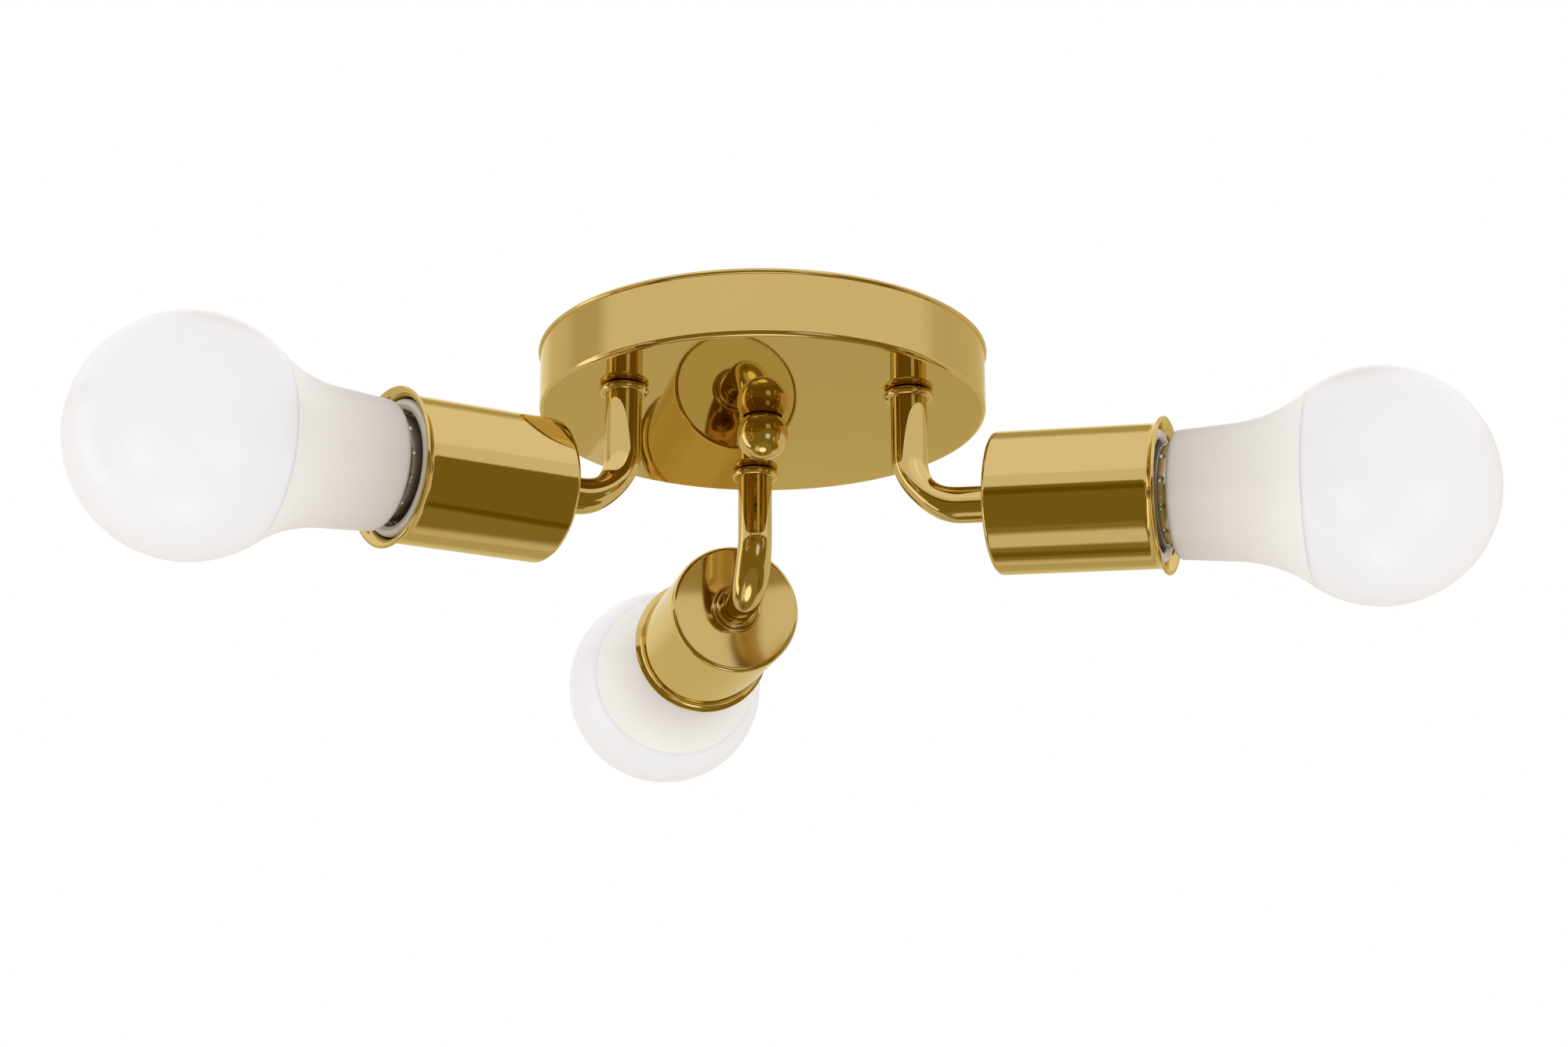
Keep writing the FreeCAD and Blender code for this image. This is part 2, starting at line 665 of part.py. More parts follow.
def bulb_globe():
    """A diffuser: a ball whose lower part runs on in a slightly larger arc to the seam."""
    slope, at = lower_globe()
    lean = math.sqrt(0.5)
    outer, inner = GLOBE_R, GLOBE_R - BULB_WALL
    return (Outline(*at(slope, 0)).arc(at(slope / 2, 0), (outer, GLOBE_S))
            .arc((outer * lean, GLOBE_S + outer * lean), (0, GLOBE_S + outer))
            .line(0, GLOBE_S + inner)
            .arc((inner * lean, GLOBE_S + inner * lean), (inner, GLOBE_S))
            .arc(at(slope / 2, BULB_WALL), at(slope, BULB_WALL)).turned())


def waist(inset):
    """Three points of the housing's hollow waist, from its shoulder to the seam."""
    slope, at = lower_globe()
    start = math.atan((SHOULDER_R - NECK_R) / (SHOULDER_S - NECK_S - 1.6))
    chord = math.atan2(SEAM_R - SHOULDER_R, SEAM_S - SHOULDER_S)
    span = math.hypot(SEAM_R - SHOULDER_R, SEAM_S - SHOULDER_S)
    radius = span / (2 * math.sin(chord - start))
    hub = (SHOULDER_R + radius * math.cos(start), SHOULDER_S - radius * math.sin(start))
    reach = radius + inset
    low = (hub[0] - reach * math.cos(start), hub[1] + reach * math.sin(start))
    middle = (hub[0] - reach * math.cos(chord), hub[1] + reach * math.sin(chord))
    return low, middle, at(slope, inset), hub, reach


def bulb_housing():
    """The white neck of the bulb: a spigot in the cap, a slim neck and a waist up to the seam."""
    low, middle, high = waist(0)[:3]
    low_in, middle_in, high_in = waist(BULB_WALL)[:3]
    spigot, bore = SKIRT_R - 0.7, SKIRT_R - 2.0
    return (Outline(bore, SKIRT_S + 1.4).line(spigot, SKIRT_S + 1.4).line(spigot, NECK_S)
            .line(NECK_R - 1.2, NECK_S).arc((NECK_R - 0.3, NECK_S + 0.45), (NECK_R, NECK_S + 1.6))
            .line(*low).arc(middle, high).line(*high_in).arc(middle_in, low_in)
            .line(NECK_R - BULB_WALL, NECK_S + BULB_WALL + 0.5).line(bore, NECK_S + BULB_WALL + 0.5)
            .turned())


def bulb_screw_cap():
    """The nickelled cap: a rolled thread, and a plain skirt with punch marks round it."""
    bore = THREAD_MEAN_R - THREAD_DEPTH - 0.5
    radius_of = thread_radius(THREAD_MEAN_R, THREAD_DEPTH, CAP_PITCH, CAP_S, SKIRT_S, -1)
    sleeve = threaded_sleeve(radius_of, bore, CAP_S, SKIRT_S, CAP_PITCH)
    end, t = NECK_S - FIT, 0.6
    skirt = (Outline(bore - 0.1, SKIRT_S).line(SKIRT_R - 0.9, SKIRT_S)
             .arc((SKIRT_R - 0.26, SKIRT_S + 0.26), (SKIRT_R, SKIRT_S + 0.9)).line(SKIRT_R, end)
             .line(SKIRT_R - t, end).line(SKIRT_R - t, SKIRT_S + 1.1)
             .line(bore - 0.1, SKIRT_S + 1.1).turned())
    for k in range(PUNCH_COUNT):
        place = polar(SKIRT_R + 0.85, 360 * k / PUNCH_COUNT, NECK_S - 1.5)
        skirt = skirt.cut(Part.makeSphere(1.2, place))
    return sleeve.fuse(skirt)


def bulb_insulator():
    bore = 2.0 + FIT
    plug = THREAD_MEAN_R - THREAD_DEPTH - 0.6
    return (Outline(bore, INSULATOR_S).line(7.5, INSULATOR_S).line(plug + 0.4, CAP_S)
            .line(plug, CAP_S).line(plug, CAP_S + 1.4).line(bore, CAP_S + 1.4).turned())


def bulb_tip():
    """The tip contact, a low dome with a shank in the insulator."""
    top = INSULATOR_S - FIT
    return (Outline(0, TIP_S).arc((2.5, TIP_S + 0.28), (4.6, TIP_S + 0.95)).line(4.6, top)
            .line(2.0, top).line(2.0, INSULATOR_S + 1.6).line(0, INSULATOR_S + 1.6).turned())


def bulb_led_board():
    """A round board wedged in the housing's waist, with a ring of light-emitting chips."""
    hub, reach = waist(BULB_WALL)[3:]
    radius = hub[0] - math.sqrt(reach ** 2 - (BOARD_S - hub[1]) ** 2) - FIT
    board = cylinder(radius, BOARD_S, BOARD_S + 1.2)
    for k in range(CHIP_COUNT):
        chip = box((CHIP_RING_R - 1.4, CHIP_RING_R + 1.4), (-1.4, 1.4), (BOARD_S + 1.0, BOARD_S + 1.9))
        chip.rotate(V(0, 0, 0), UP, 360 * k / CHIP_COUNT)
        board = board.fuse(chip)
    return board


def bulb_driver():
    """The driver's board upright in the neck, with a capacitor, a coil and a bridge block on it."""
    board = box((-9, 9), (-0.8, 0.8), (CAP_S + 1.4, BOARD_S))
    capacitor = Part.makeCylinder(4.0, 12.0, V(-2, 4.6, 52), UP)
    coil = Part.makeCylinder(3.6, 7.0, V(4.4, -4.2, 58), UP)
    block = box((-6, -1), (-4.0, -0.6), (50, 57))
    return board.fuse([capacitor, coil, block])


# ---------------------------------------------------------------- all nodes

def shared_nodes():
    return {
        "canopy": canopy(),
        "mounting_bracket": mounting_bracket(),
        "stud": stud(),
        "stud_nut": stud_nut(),
        "arm_nuts": arm_nuts(),
        "cup_nuts": Part.Compound([Arm(name).in_cup(cup_nut()) for name in ARMS]),
        "holder_rivets": Part.Compound([Arm(name).in_cup(holder_rivets()) for name in ARMS]),
        "finial_washer": finial_washer(),
        "finial_ball": finial_ball(),
        "terminal_block": terminal_block(),
        "terminal_screws": terminal_screws(),
        "earth_screw": earth_screw(),
        "earth_lead": earth_lead(),
    }


CUP_PIECES = {
    "cup_flange": cup_flange,
    "cup": cup,
    "lampholder": lampholder,
    "screw_shell": screw_shell,
    "centre_contact": centre_contact,
    "bulb_tip": bulb_tip,
    "bulb_insulator": bulb_insulator,
    "bulb_screw_cap": bulb_screw_cap,
    "bulb_housing": bulb_housing,
    "bulb_driver": bulb_driver,
    "bulb_led_board": bulb_led_board,
    "bulb_globe": bulb_globe,
}


def main():
    os.makedirs("parts", exist_ok=True)
    nodes = shared_nodes()
    in_cup = {piece: make() for piece, make in CUP_PIECES.items()}
    for name in ARMS:
        arm = Arm(name)
        nodes["arm_" + name] = arm.tube()
        nodes["face_collar_" + name] = arm.placed(face_collar())
        nodes["lead_wires_" + name] = lead_wires(arm)
        for piece, shape in in_cup.items():
            nodes[piece + "_" + name] = arm.in_cup(shape)
    for name, shape in nodes.items():
        if not shape.isValid() or shape.Volume <= 0:
            print("not valid:", name)
        shape.exportStep("parts/%s.step" % name)
    print(len(nodes), "nodes")


main()
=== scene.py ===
"""Semi flush ceiling light: a mirror-polished brass canopy, three bent arms with cups, three round bulbs.

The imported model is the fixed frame. Every place below is read from its joints and boxes, and the sizes are
the real ones. The polished sheet metal, the turned trims, the moulded lampholders and the bulbs are built
again as smooth meshes; the fittings inside the canopy and the cups keep their own solids and get a finish.
"""

from __future__ import annotations

import json
import logging
import math
from dataclasses import dataclass
from enum import Enum
from typing import Iterable, Sequence

import bmesh
import bpy
from mathutils import Color, Matrix, Vector

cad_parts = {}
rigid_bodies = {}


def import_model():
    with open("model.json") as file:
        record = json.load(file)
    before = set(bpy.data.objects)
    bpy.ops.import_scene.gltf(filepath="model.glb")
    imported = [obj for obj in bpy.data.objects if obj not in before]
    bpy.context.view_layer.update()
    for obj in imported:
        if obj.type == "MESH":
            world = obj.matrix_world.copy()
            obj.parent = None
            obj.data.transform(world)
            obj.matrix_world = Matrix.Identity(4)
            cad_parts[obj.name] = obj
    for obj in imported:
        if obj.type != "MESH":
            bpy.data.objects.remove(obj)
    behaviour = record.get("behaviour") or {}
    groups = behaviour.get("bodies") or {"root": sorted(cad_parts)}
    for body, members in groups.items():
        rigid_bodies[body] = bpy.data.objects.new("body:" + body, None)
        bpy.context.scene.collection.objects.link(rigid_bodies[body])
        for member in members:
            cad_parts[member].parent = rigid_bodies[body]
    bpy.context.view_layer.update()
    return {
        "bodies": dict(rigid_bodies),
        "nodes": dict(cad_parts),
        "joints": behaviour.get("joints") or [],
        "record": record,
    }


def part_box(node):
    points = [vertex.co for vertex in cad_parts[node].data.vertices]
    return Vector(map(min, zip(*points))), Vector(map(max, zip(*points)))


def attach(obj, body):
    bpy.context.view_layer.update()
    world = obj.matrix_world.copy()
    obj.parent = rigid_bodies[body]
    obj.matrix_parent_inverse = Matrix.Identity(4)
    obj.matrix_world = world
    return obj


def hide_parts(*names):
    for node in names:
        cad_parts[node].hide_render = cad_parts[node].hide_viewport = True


MM = 0.001
SUPPORT = 0.2 * MM          # distance of a support loop from a corner
WELD = 0.002 * MM           # vertices nearer than this are one
SHARP = math.radians(32.0)  # edges that turn more than this stay crisp
SPUN = "spun"               # 1 on the flat back of a cup, which is polished less than the rest, else 0
PAINTED_SHADE_RISE = "rise"               # how far up the bulb's housing a vertex lies, 0 at its foot and 1 at the seam; it sets how much painted shade darkens the housing
TRIM_STEPS = 128            # faces round a small turned piece
CORNER_STEPS = 8            # edges along a small round corner

log = logging.getLogger("ceiling_light")

Colour = tuple[float, float, float]


class ArmName(Enum):
    """The three arms, named as seen from in front."""

    LEFT = "left"
    RIGHT = "right"
    REAR = "rear"


class Body(Enum):
    """The bodies of the frame that pieces ride on; a bulb's body has its arm's name."""

    FIXTURE = "fixture"
    FINIAL = "finial"
    FINIAL_LIFT = "finial_lift"


# ---------------------------------------------------------------- shader graphs


class Graph:
    """A node tree, with short ways to add nodes to it and to join them."""

    def __init__(self, tree: bpy.types.NodeTree) -> None:
        """Args:
            tree: the node tree to build in.
        """
        self.tree = tree

    def add(self, kind: str, **settings: object) -> bpy.types.Node:
        """Adds a node.

        Args:
            kind: the node's type name.
            settings: the node's own settings.

        Returns:
            The new node.
        """
        node = self.tree.nodes.new(kind)
        for name, value in settings.items():
            setattr(node, name, value)
        return node

    def feed(self, socket: bpy.types.NodeSocket, value: object) -> None:
        """Joins an output to an input socket, or sets the input's own value.

        Args:
            socket: the input.
            value: an output socket, a number, a vector or a colour.
        """
        if isinstance(value, bpy.types.NodeSocket):
            self.tree.links.new(value, socket)
        elif socket.type == "RGBA":
            socket.default_value = (*value[:3], 1.0)
        else:
            socket.default_value = value

    def math(self, operation: str, *values: object) -> bpy.types.NodeSocket:
        """Returns the output of a Math node on the given values."""
        node = self.add("ShaderNodeMath", operation=operation)
        for socket, value in zip(node.inputs, values):
            self.feed(socket, value)
        return node.outputs[0]

    def noise(self, vector: object, scale: object, detail: float) -> bpy.types.NodeSocket:
        """Returns the value of a noise pattern, about 0.5 on average."""
        node = self.add("ShaderNodeTexNoise")
        self.feed(node.inputs["Vector"], vector)
        self.feed(node.inputs["Scale"], scale)
        self.feed(node.inputs["Detail"], detail)
        return node.outputs["Fac"]

    def blend(self, mask: object, first: object, second: object) -> bpy.types.NodeSocket:
        """Returns a colour mixed from first to second by a mask."""
        node = self.add("ShaderNodeMix", data_type="RGBA")
        self.feed(node.inputs["Factor"], mask)
        self.feed(node.inputs["A"], first)
        self.feed(node.inputs["B"], second)
        return node.outputs["Result"]

    def step(self, value: object, low: float, high: float) -> bpy.types.NodeSocket:
        """Returns a smooth step of a value: 0 below low, 1 above high."""
        node = self.add("ShaderNodeMapRange", interpolation_type="SMOOTHSTEP")
        self.feed(node.inputs["Value"], value)
        self.feed(node.inputs["From Min"], low)
        self.feed(node.inputs["From Max"], high)
        return node.outputs["Result"]

    def window(self, value: object, low: float, high: float, soft: float) -> bpy.types.NodeSocket:
        """Returns a mask that is 1 between low and high, with soft edges."""
        rise = self.step(value, low - soft, low + soft)
        fall = self.step(value, high + soft, high - soft)
        return self.math("MULTIPLY", rise, fall)


class Effect(Enum):
    """The surface effects that several finishes share, each one node group."""

    HAZE = "polish_haze"
    RIPPLE = "sheet_ripple"
    GRAIN = "moulded_grain"
    WEAR = "edge_wear"
    MOTTLE = "tone_mottle"


class Effects:
    """Builds each shared effect once and places it in materials."""

    LEAST_ROUGHNESS = 0.02
    WIPED = 9.0                  # how much finer the wiped patches of a polish are than its clouds
    HAZE_MEAN = 0.75             # mean of the clouds and half the wiped patches
    STRETCH = (1.0, 1.0, 14.0)   # draws a noise out into hairlines
    HAIRLINES = 900.0
    BROAD = 0.07                 # scale of a grain's broad part, against its fine part
    BROAD_WEIGHT = 2.0
    CHIPS = 500.0                # scale of the noise that breaks rubbed edges up
    CLOUD_LOW, CLOUD_HIGH = 0.3, 0.7
    INPUTS = {
        Effect.HAZE: (("Roughness", 0.08), ("Spread", 0.03), ("Scale", 60.0)),
        Effect.RIPPLE: (("Scale", 70.0), ("Depth", 1.0e-6), ("Line Depth", 1.0e-7)),
        Effect.GRAIN: (("Scale", 3000.0), ("Depth", 4.0e-6)),
        Effect.WEAR: (("Low", 0.52), ("High", 0.62), ("Amount", 0.5)),
        Effect.MOTTLE: (("Scale", 40.0), ("Amount", 0.3)),
    }
    OUTPUT = {
        Effect.HAZE: "Roughness",
        Effect.RIPPLE: "Height",
        Effect.GRAIN: "Height",
        Effect.WEAR: "Mask",
        Effect.MOTTLE: "Mask",
    }

    def __init__(self) -> None:
        """Starts with no group built."""
        self.trees: dict[Effect, bpy.types.NodeTree] = {}

    def place(self, graph: Graph, effect: Effect, vector: object, **values: float) -> bpy.types.NodeSocket:
        """Places an effect in a material.

        Args:
            graph: the material's graph.
            effect: which effect.
            vector: the coordinates it reads.
            values: its inputs by name, with _ for a space.

        Returns:
            The effect's output socket.
        """
        if effect not in self.trees:
            self.trees[effect] = self.build(effect)
        node = graph.add("ShaderNodeGroup", node_tree=self.trees[effect])
        graph.feed(node.inputs["Vector"], vector)
        for name, value in values.items():
            graph.feed(node.inputs[name.replace("_", " ")], value)
        return node.outputs[0]

    def build(self, effect: Effect) -> bpy.types.NodeTree:
        """Builds one effect's node group and returns it."""
        tree = bpy.data.node_groups.new(effect.value, "ShaderNodeTree")
        tree.interface.new_socket("Vector", in_out="INPUT", socket_type="NodeSocketVector")
        for name, value in self.INPUTS[effect]:
            socket = tree.interface.new_socket(name, in_out="INPUT", socket_type="NodeSocketFloat")
            socket.default_value = value
        tree.interface.new_socket(self.OUTPUT[effect], in_out="OUTPUT", socket_type="NodeSocketFloat")
        graph = Graph(tree)
        given = graph.add("NodeGroupInput").outputs
        maker = {
            Effect.HAZE: self.haze,
            Effect.RIPPLE: self.ripple,
            Effect.GRAIN: self.grain,
            Effect.WEAR: self.wear,
            Effect.MOTTLE: self.mottle,
        }[effect]
        graph.feed(graph.add("NodeGroupOutput").inputs[0], maker(graph, given))
        return tree

    def haze(self, graph: Graph, given: bpy.types.NodeOutputs) -> bpy.types.NodeSocket:
        """A polish that is a little duller in clouds and in fine wiped patches; returns a roughness."""
        clouds = graph.noise(given["Vector"], given["Scale"], 3.0)
        fine = graph.noise(given["Vector"], graph.math("MULTIPLY", given["Scale"], self.WIPED), 2.0)
        both = graph.math("ADD", clouds, graph.math("MULTIPLY", fine, 0.5))
        centred = graph.math("SUBTRACT", both, self.HAZE_MEAN)
        change = graph.math("MULTIPLY", centred, given["Spread"])
        return graph.math("MAXIMUM", graph.math("ADD", given["Roughness"], change), self.LEAST_ROUGHNESS)

    def ripple(self, graph: Graph, given: bpy.types.NodeOutputs) -> bpy.types.NodeSocket:
        """The faint waves of drawn and buffed sheet, and hairlines over them; returns a height in metres."""
        waves = graph.noise(given["Vector"], given["Scale"], 1.0)
        stretched = graph.add("ShaderNodeVectorMath", operation="MULTIPLY")
        graph.feed(stretched.inputs[0], given["Vector"])
        graph.feed(stretched.inputs[1], self.STRETCH)
        lines = graph.noise(stretched.outputs[0], self.HAIRLINES, 2.0)
        slow = graph.math("MULTIPLY", waves, given["Depth"])
        return graph.math("MULTIPLY_ADD", lines, given["Line Depth"], slow)

    def grain(self, graph: Graph, given: bpy.types.NodeOutputs) -> bpy.types.NodeSocket:
        """The fine texture of a moulded or sprayed surface; returns a height in metres."""
        fine = graph.noise(given["Vector"], given["Scale"], 2.0)
        broad = graph.noise(given["Vector"], graph.math("MULTIPLY", given["Scale"], self.BROAD), 1.0)
        both = graph.math("MULTIPLY_ADD", broad, self.BROAD_WEIGHT, fine)
        return graph.math("MULTIPLY", both, given["Depth"])

    def wear(self, graph: Graph, given: bpy.types.NodeOutputs) -> bpy.types.NodeSocket:
        """Edges that are rubbed, broken up by a noise; returns a mask."""
        pointed = graph.add("ShaderNodeNewGeometry").outputs["Pointiness"]
        mask = graph.add("ShaderNodeMapRange")
        graph.feed(mask.inputs["Value"], pointed)
        graph.feed(mask.inputs["From Min"], given["Low"])
        graph.feed(mask.inputs["From Max"], given["High"])
        broken = graph.noise(given["Vector"], self.CHIPS, 3.0)
        return graph.math("MULTIPLY", graph.math("MULTIPLY", mask.outputs[0], broken), given["Amount"])

    def mottle(self, graph: Graph, given: bpy.types.NodeOutputs) -> bpy.types.NodeSocket:
        """A slow change of tone; returns a mask."""
        clouds = graph.noise(given["Vector"], given["Scale"], 3.0)
        return graph.math("MULTIPLY", graph.step(clouds, self.CLOUD_LOW, self.CLOUD_HIGH), given["Amount"])


# ---------------------------------------------------------------- finishes


@dataclass(frozen=True)
class Finish:
    """What every finish has: a name, a colour and its second tone, a roughness, and how the tones vary."""

    name: str
    colour: Colour
    second: Colour
    roughness: float
    mottle: float = 0.3
    mottle_scale: float = 40.0

    def material(self, effects: Effects) -> bpy.types.Material:
        """Builds the finish as a material.

        Args:
            effects: the shared effects.

        Returns:
            The material, with its two tones mixed into the shader's base colour.
        """
        made = bpy.data.materials.new(self.name)
        made.use_nodes = True
        graph = Graph(made.node_tree)
        shader = made.node_tree.nodes["Principled BSDF"]
        place = graph.add("ShaderNodeTexCoord").outputs["Object"]
        clouds = effects.place(graph, Effect.MOTTLE, place, Scale=self.mottle_scale, Amount=self.mottle)
        graph.feed(shader.inputs["Base Color"], graph.blend(clouds, self.colour, self.second))
        self.dress(graph, shader, place, effects)
        return made

    def dress(self, graph: Graph, shader: bpy.types.Node, place: object, effects: Effects) -> None:
        """Adds what this kind of finish has beyond its tones."""
        raise NotImplementedError

    def relief(self, graph: Graph, shader: bpy.types.Node, height: object) -> None:
        """Turns a height in metres into the shader's normal."""
        bump = graph.add("ShaderNodeBump")
        graph.feed(bump.inputs["Strength"], 1.0)
        graph.feed(bump.inputs["Distance"], 1.0)
        graph.feed(bump.inputs["Height"], height)
        graph.feed(shader.inputs["Normal"], bump.outputs[0])


@dataclass(frozen=True)
class PolishedMetal(Finish):
    """Buffed metal: sharp reflections with a little haze and the faint waves of sheet.

    Where a mesh is marked as spun, the finish is rougher by its own amount. The edge is its tint where it
    is seen at a glance.
    """

    haze: float = 0.03
    haze_scale: float = 60.0
    wave: float = 1.0e-6
    wave_scale: float = 70.0
    hairline: float = 1.0e-7
    edge: Colour = (1.0, 1.0, 1.0)
    spun: float = 0.0

    def dress(self, graph: Graph, shader: bpy.types.Node, place: object, effects: Effects) -> None:
        """Makes the surface metal, with its tint at a glance, varied roughness and a rippled normal."""
        shader.inputs["Metallic"].default_value = 1.0
        shader.inputs["Specular Tint"].default_value = (*self.edge, 1.0)
        rough = effects.place(
            graph, Effect.HAZE, place, Roughness=self.roughness, Spread=self.haze, Scale=self.haze_scale
        )
        if self.spun:
            flat = graph.add("ShaderNodeAttribute", attribute_name=SPUN).outputs["Fac"]
            rough = graph.math("MULTIPLY_ADD", flat, self.spun, rough)
        graph.feed(shader.inputs["Roughness"], rough)
        height = effects.place(
            graph, Effect.RIPPLE, place, Scale=self.wave_scale, Depth=self.wave, Line_Depth=self.hairline
        )
        self.relief(graph, shader, height)


BRASS: Colour = (0.61, 0.45, 0.175)
BRASS_DEEP: Colour = (0.58, 0.42, 0.15)


@dataclass(frozen=True)
class Brass(PolishedMetal):
    """The light's polished brass; the waves of the sheet and the polish differ from piece to piece."""

    colour: Colour = BRASS
    second: Colour = BRASS_DEEP
    roughness: float = 0.035
    haze: float = 0.02
    edge: Colour = (0.95, 0.90, 0.62)


@dataclass(frozen=True)
class PlatedMetal(PolishedMetal):
    """Plated or bare metal that is rubbed along its edges."""

    worn: Colour = (0.8, 0.8, 0.8)
    wear: float = 0.8

    def dress(self, graph: Graph, shader: bpy.types.Node, place: object, effects: Effects) -> None:
        """Adds the rubbed edges to the polished metal."""
        super().dress(graph, shader, place, effects)
        tones = shader.inputs["Base Color"].links[0].from_socket
        mask = effects.place(graph, Effect.WEAR, place, Amount=self.wear)
        graph.feed(shader.inputs["Base Color"], graph.blend(mask, tones, self.worn))


@dataclass(frozen=True)
class Moulded(Finish):
    """Moulded plastic, fibre or glaze, with a fine grain."""

    grain: float = 3.0e-6
    grain_scale: float = 2500.0
    haze_share: float = 0.1
    haze_scale: float = 90.0
    gloss_level: float = 0.5
    coat: float = 0.0
    coat_roughness: float = 0.1
    inner_glow: float = 0.0
    glow_depth: float = 2.0 * MM
    glow_radius: Colour = (1.0, 0.9, 0.8)
    # painted shade: a darker colour at the foot of a bulb's housing, where the cup shades it, fading out by
    # the seam
    foot: Colour | None = None

    def dress(self, graph: Graph, shader: bpy.types.Node, place: object, effects: Effects) -> None:
        """Gives the surface its grain, its gloss coat, painted shade darkening its foot, and the light that
        spreads in it.
        """
        # painted shade, blended from the foot colour at the cup up to the material's own tones at the seam
        if self.foot:
            rise = graph.add("ShaderNodeAttribute", attribute_name=PAINTED_SHADE_RISE).outputs["Fac"]
            tones = shader.inputs["Base Color"].links[0].from_socket
            graph.feed(shader.inputs["Base Color"], graph.blend(rise, self.foot, tones))
        spread = self.haze_share * self.roughness
        rough = effects.place(
            graph, Effect.HAZE, place, Roughness=self.roughness, Spread=spread, Scale=self.haze_scale
        )
        graph.feed(shader.inputs["Roughness"], rough)
        shader.inputs["Specular IOR Level"].default_value = self.gloss_level
        shader.inputs["Coat Weight"].default_value = self.coat
        shader.inputs["Coat Roughness"].default_value = self.coat_roughness
        shader.inputs["Subsurface Weight"].default_value = self.inner_glow
        shader.inputs["Subsurface Scale"].default_value = self.glow_depth
        shader.inputs["Subsurface Radius"].default_value = self.glow_radius
        height = effects.place(graph, Effect.GRAIN, place, Scale=self.grain_scale, Depth=self.grain)
        self.relief(graph, shader, height)


FINISHES: tuple[Finish, ...] = (
    Brass("canopy_brass", roughness=0.03, wave=1.6e-6, wave_scale=45.0),
    Brass("arm_brass", wave=0.5e-6, wave_scale=160.0),
    Brass("cup_brass", wave=0.7e-6, wave_scale=90.0, spun=0.045),
    Brass("trim_brass", roughness=0.04, wave=0.2e-6, wave_scale=260.0),
    Brass("finial_brass", wave=0.3e-6, wave_scale=200.0),
    Moulded("holder_ivory", (0.66, 0.60, 0.49), (0.60, 0.54, 0.43), 0.28, coat=0.6, coat_roughness=0.08),
    PlatedMetal("contact_brass", (0.62, 0.46, 0.20), (0.55, 0.40, 0.17), 0.28, worn=(0.85, 0.68, 0.36)),
    Moulded("lead_insulation", (0.80, 0.79, 0.75), (0.74, 0.73, 0.69), 0.42, grain=5.0e-6),
    PlatedMetal(
        "tip_tin", (0.62, 0.62, 0.61), (0.50, 0.50, 0.50), 0.3, haze=0.1, wave=8.0e-6, wave_scale=600.0,
    ),
    Moulded("cap_glass", (0.012, 0.012, 0.016), (0.02, 0.018, 0.02), 0.12, grain=1.0e-6, coat=1.0),
    PlatedMetal(
        "cap_nickel", (0.50, 0.49, 0.47), (0.42, 0.41, 0.40), 0.16, haze=0.06, worn=(0.75, 0.72, 0.66),
    ),
    Moulded(
        "bulb_neck_white", (0.86, 0.825, 0.785), (0.845, 0.81, 0.77), 0.38, grain=1.5e-6, inner_glow=0.2,
        # the foot colour is painted shade, darkest where the housing goes into the cup
        foot=(0.54, 0.485, 0.435),
    ),
    Moulded("board_green", (0.02, 0.12, 0.05), (0.03, 0.16, 0.07), 0.35, coat=0.5),
    Moulded("board_aluminium", (0.80, 0.80, 0.80), (0.74, 0.74, 0.75), 0.4),
    Moulded(
        "bulb_diffuser", (0.905, 0.865, 0.87), (0.89, 0.85, 0.855), 0.33, grain=0.4e-6, inner_glow=0.4,
        glow_depth=5.0 * MM, mottle_scale=15.0, coat=0.35, coat_roughness=0.15, gloss_level=0.25,
    ),
    PlatedMetal("zinc_steel", (0.55, 0.56, 0.57), (0.46, 0.47, 0.47), 0.3, haze=0.12, worn=(0.8, 0.8, 0.8)),
    Moulded("washer_fibre", (0.12, 0.045, 0.02), (0.09, 0.03, 0.015), 0.6, grain=1.5e-5),
    Moulded("block_plastic", (0.80, 0.79, 0.75), (0.76, 0.75, 0.71), 0.45),
    PlatedMetal("earth_green", (0.03, 0.22, 0.06), (0.02, 0.17, 0.05), 0.3, worn=(0.5, 0.5, 0.45), wear=1.0),
    Moulded("earth_insulation", (0.05, 0.26, 0.04), (0.04, 0.21, 0.03), 0.42, grain=5.0e-6),
)


class Wardrobe:
    """Holds the object's materials by the name of their slot in the record."""

    def __init__(self) -> None:
        """Builds every finish once."""
        effects = Effects()
        self.materials = {finish.name: finish.material(effects) for finish in FINISHES}

    def dress_node(self, node: bpy.types.Object, slot: str) -> None:
        """Puts a finish on a node of the frame.

        Args:
            node: the node's object.
            slot: the finish's name, which is its slot in the record.
        """
        node.data.materials.clear()
        node.data.materials.append(self.materials[slot])


# ---------------------------------------------------------------- turned shapes


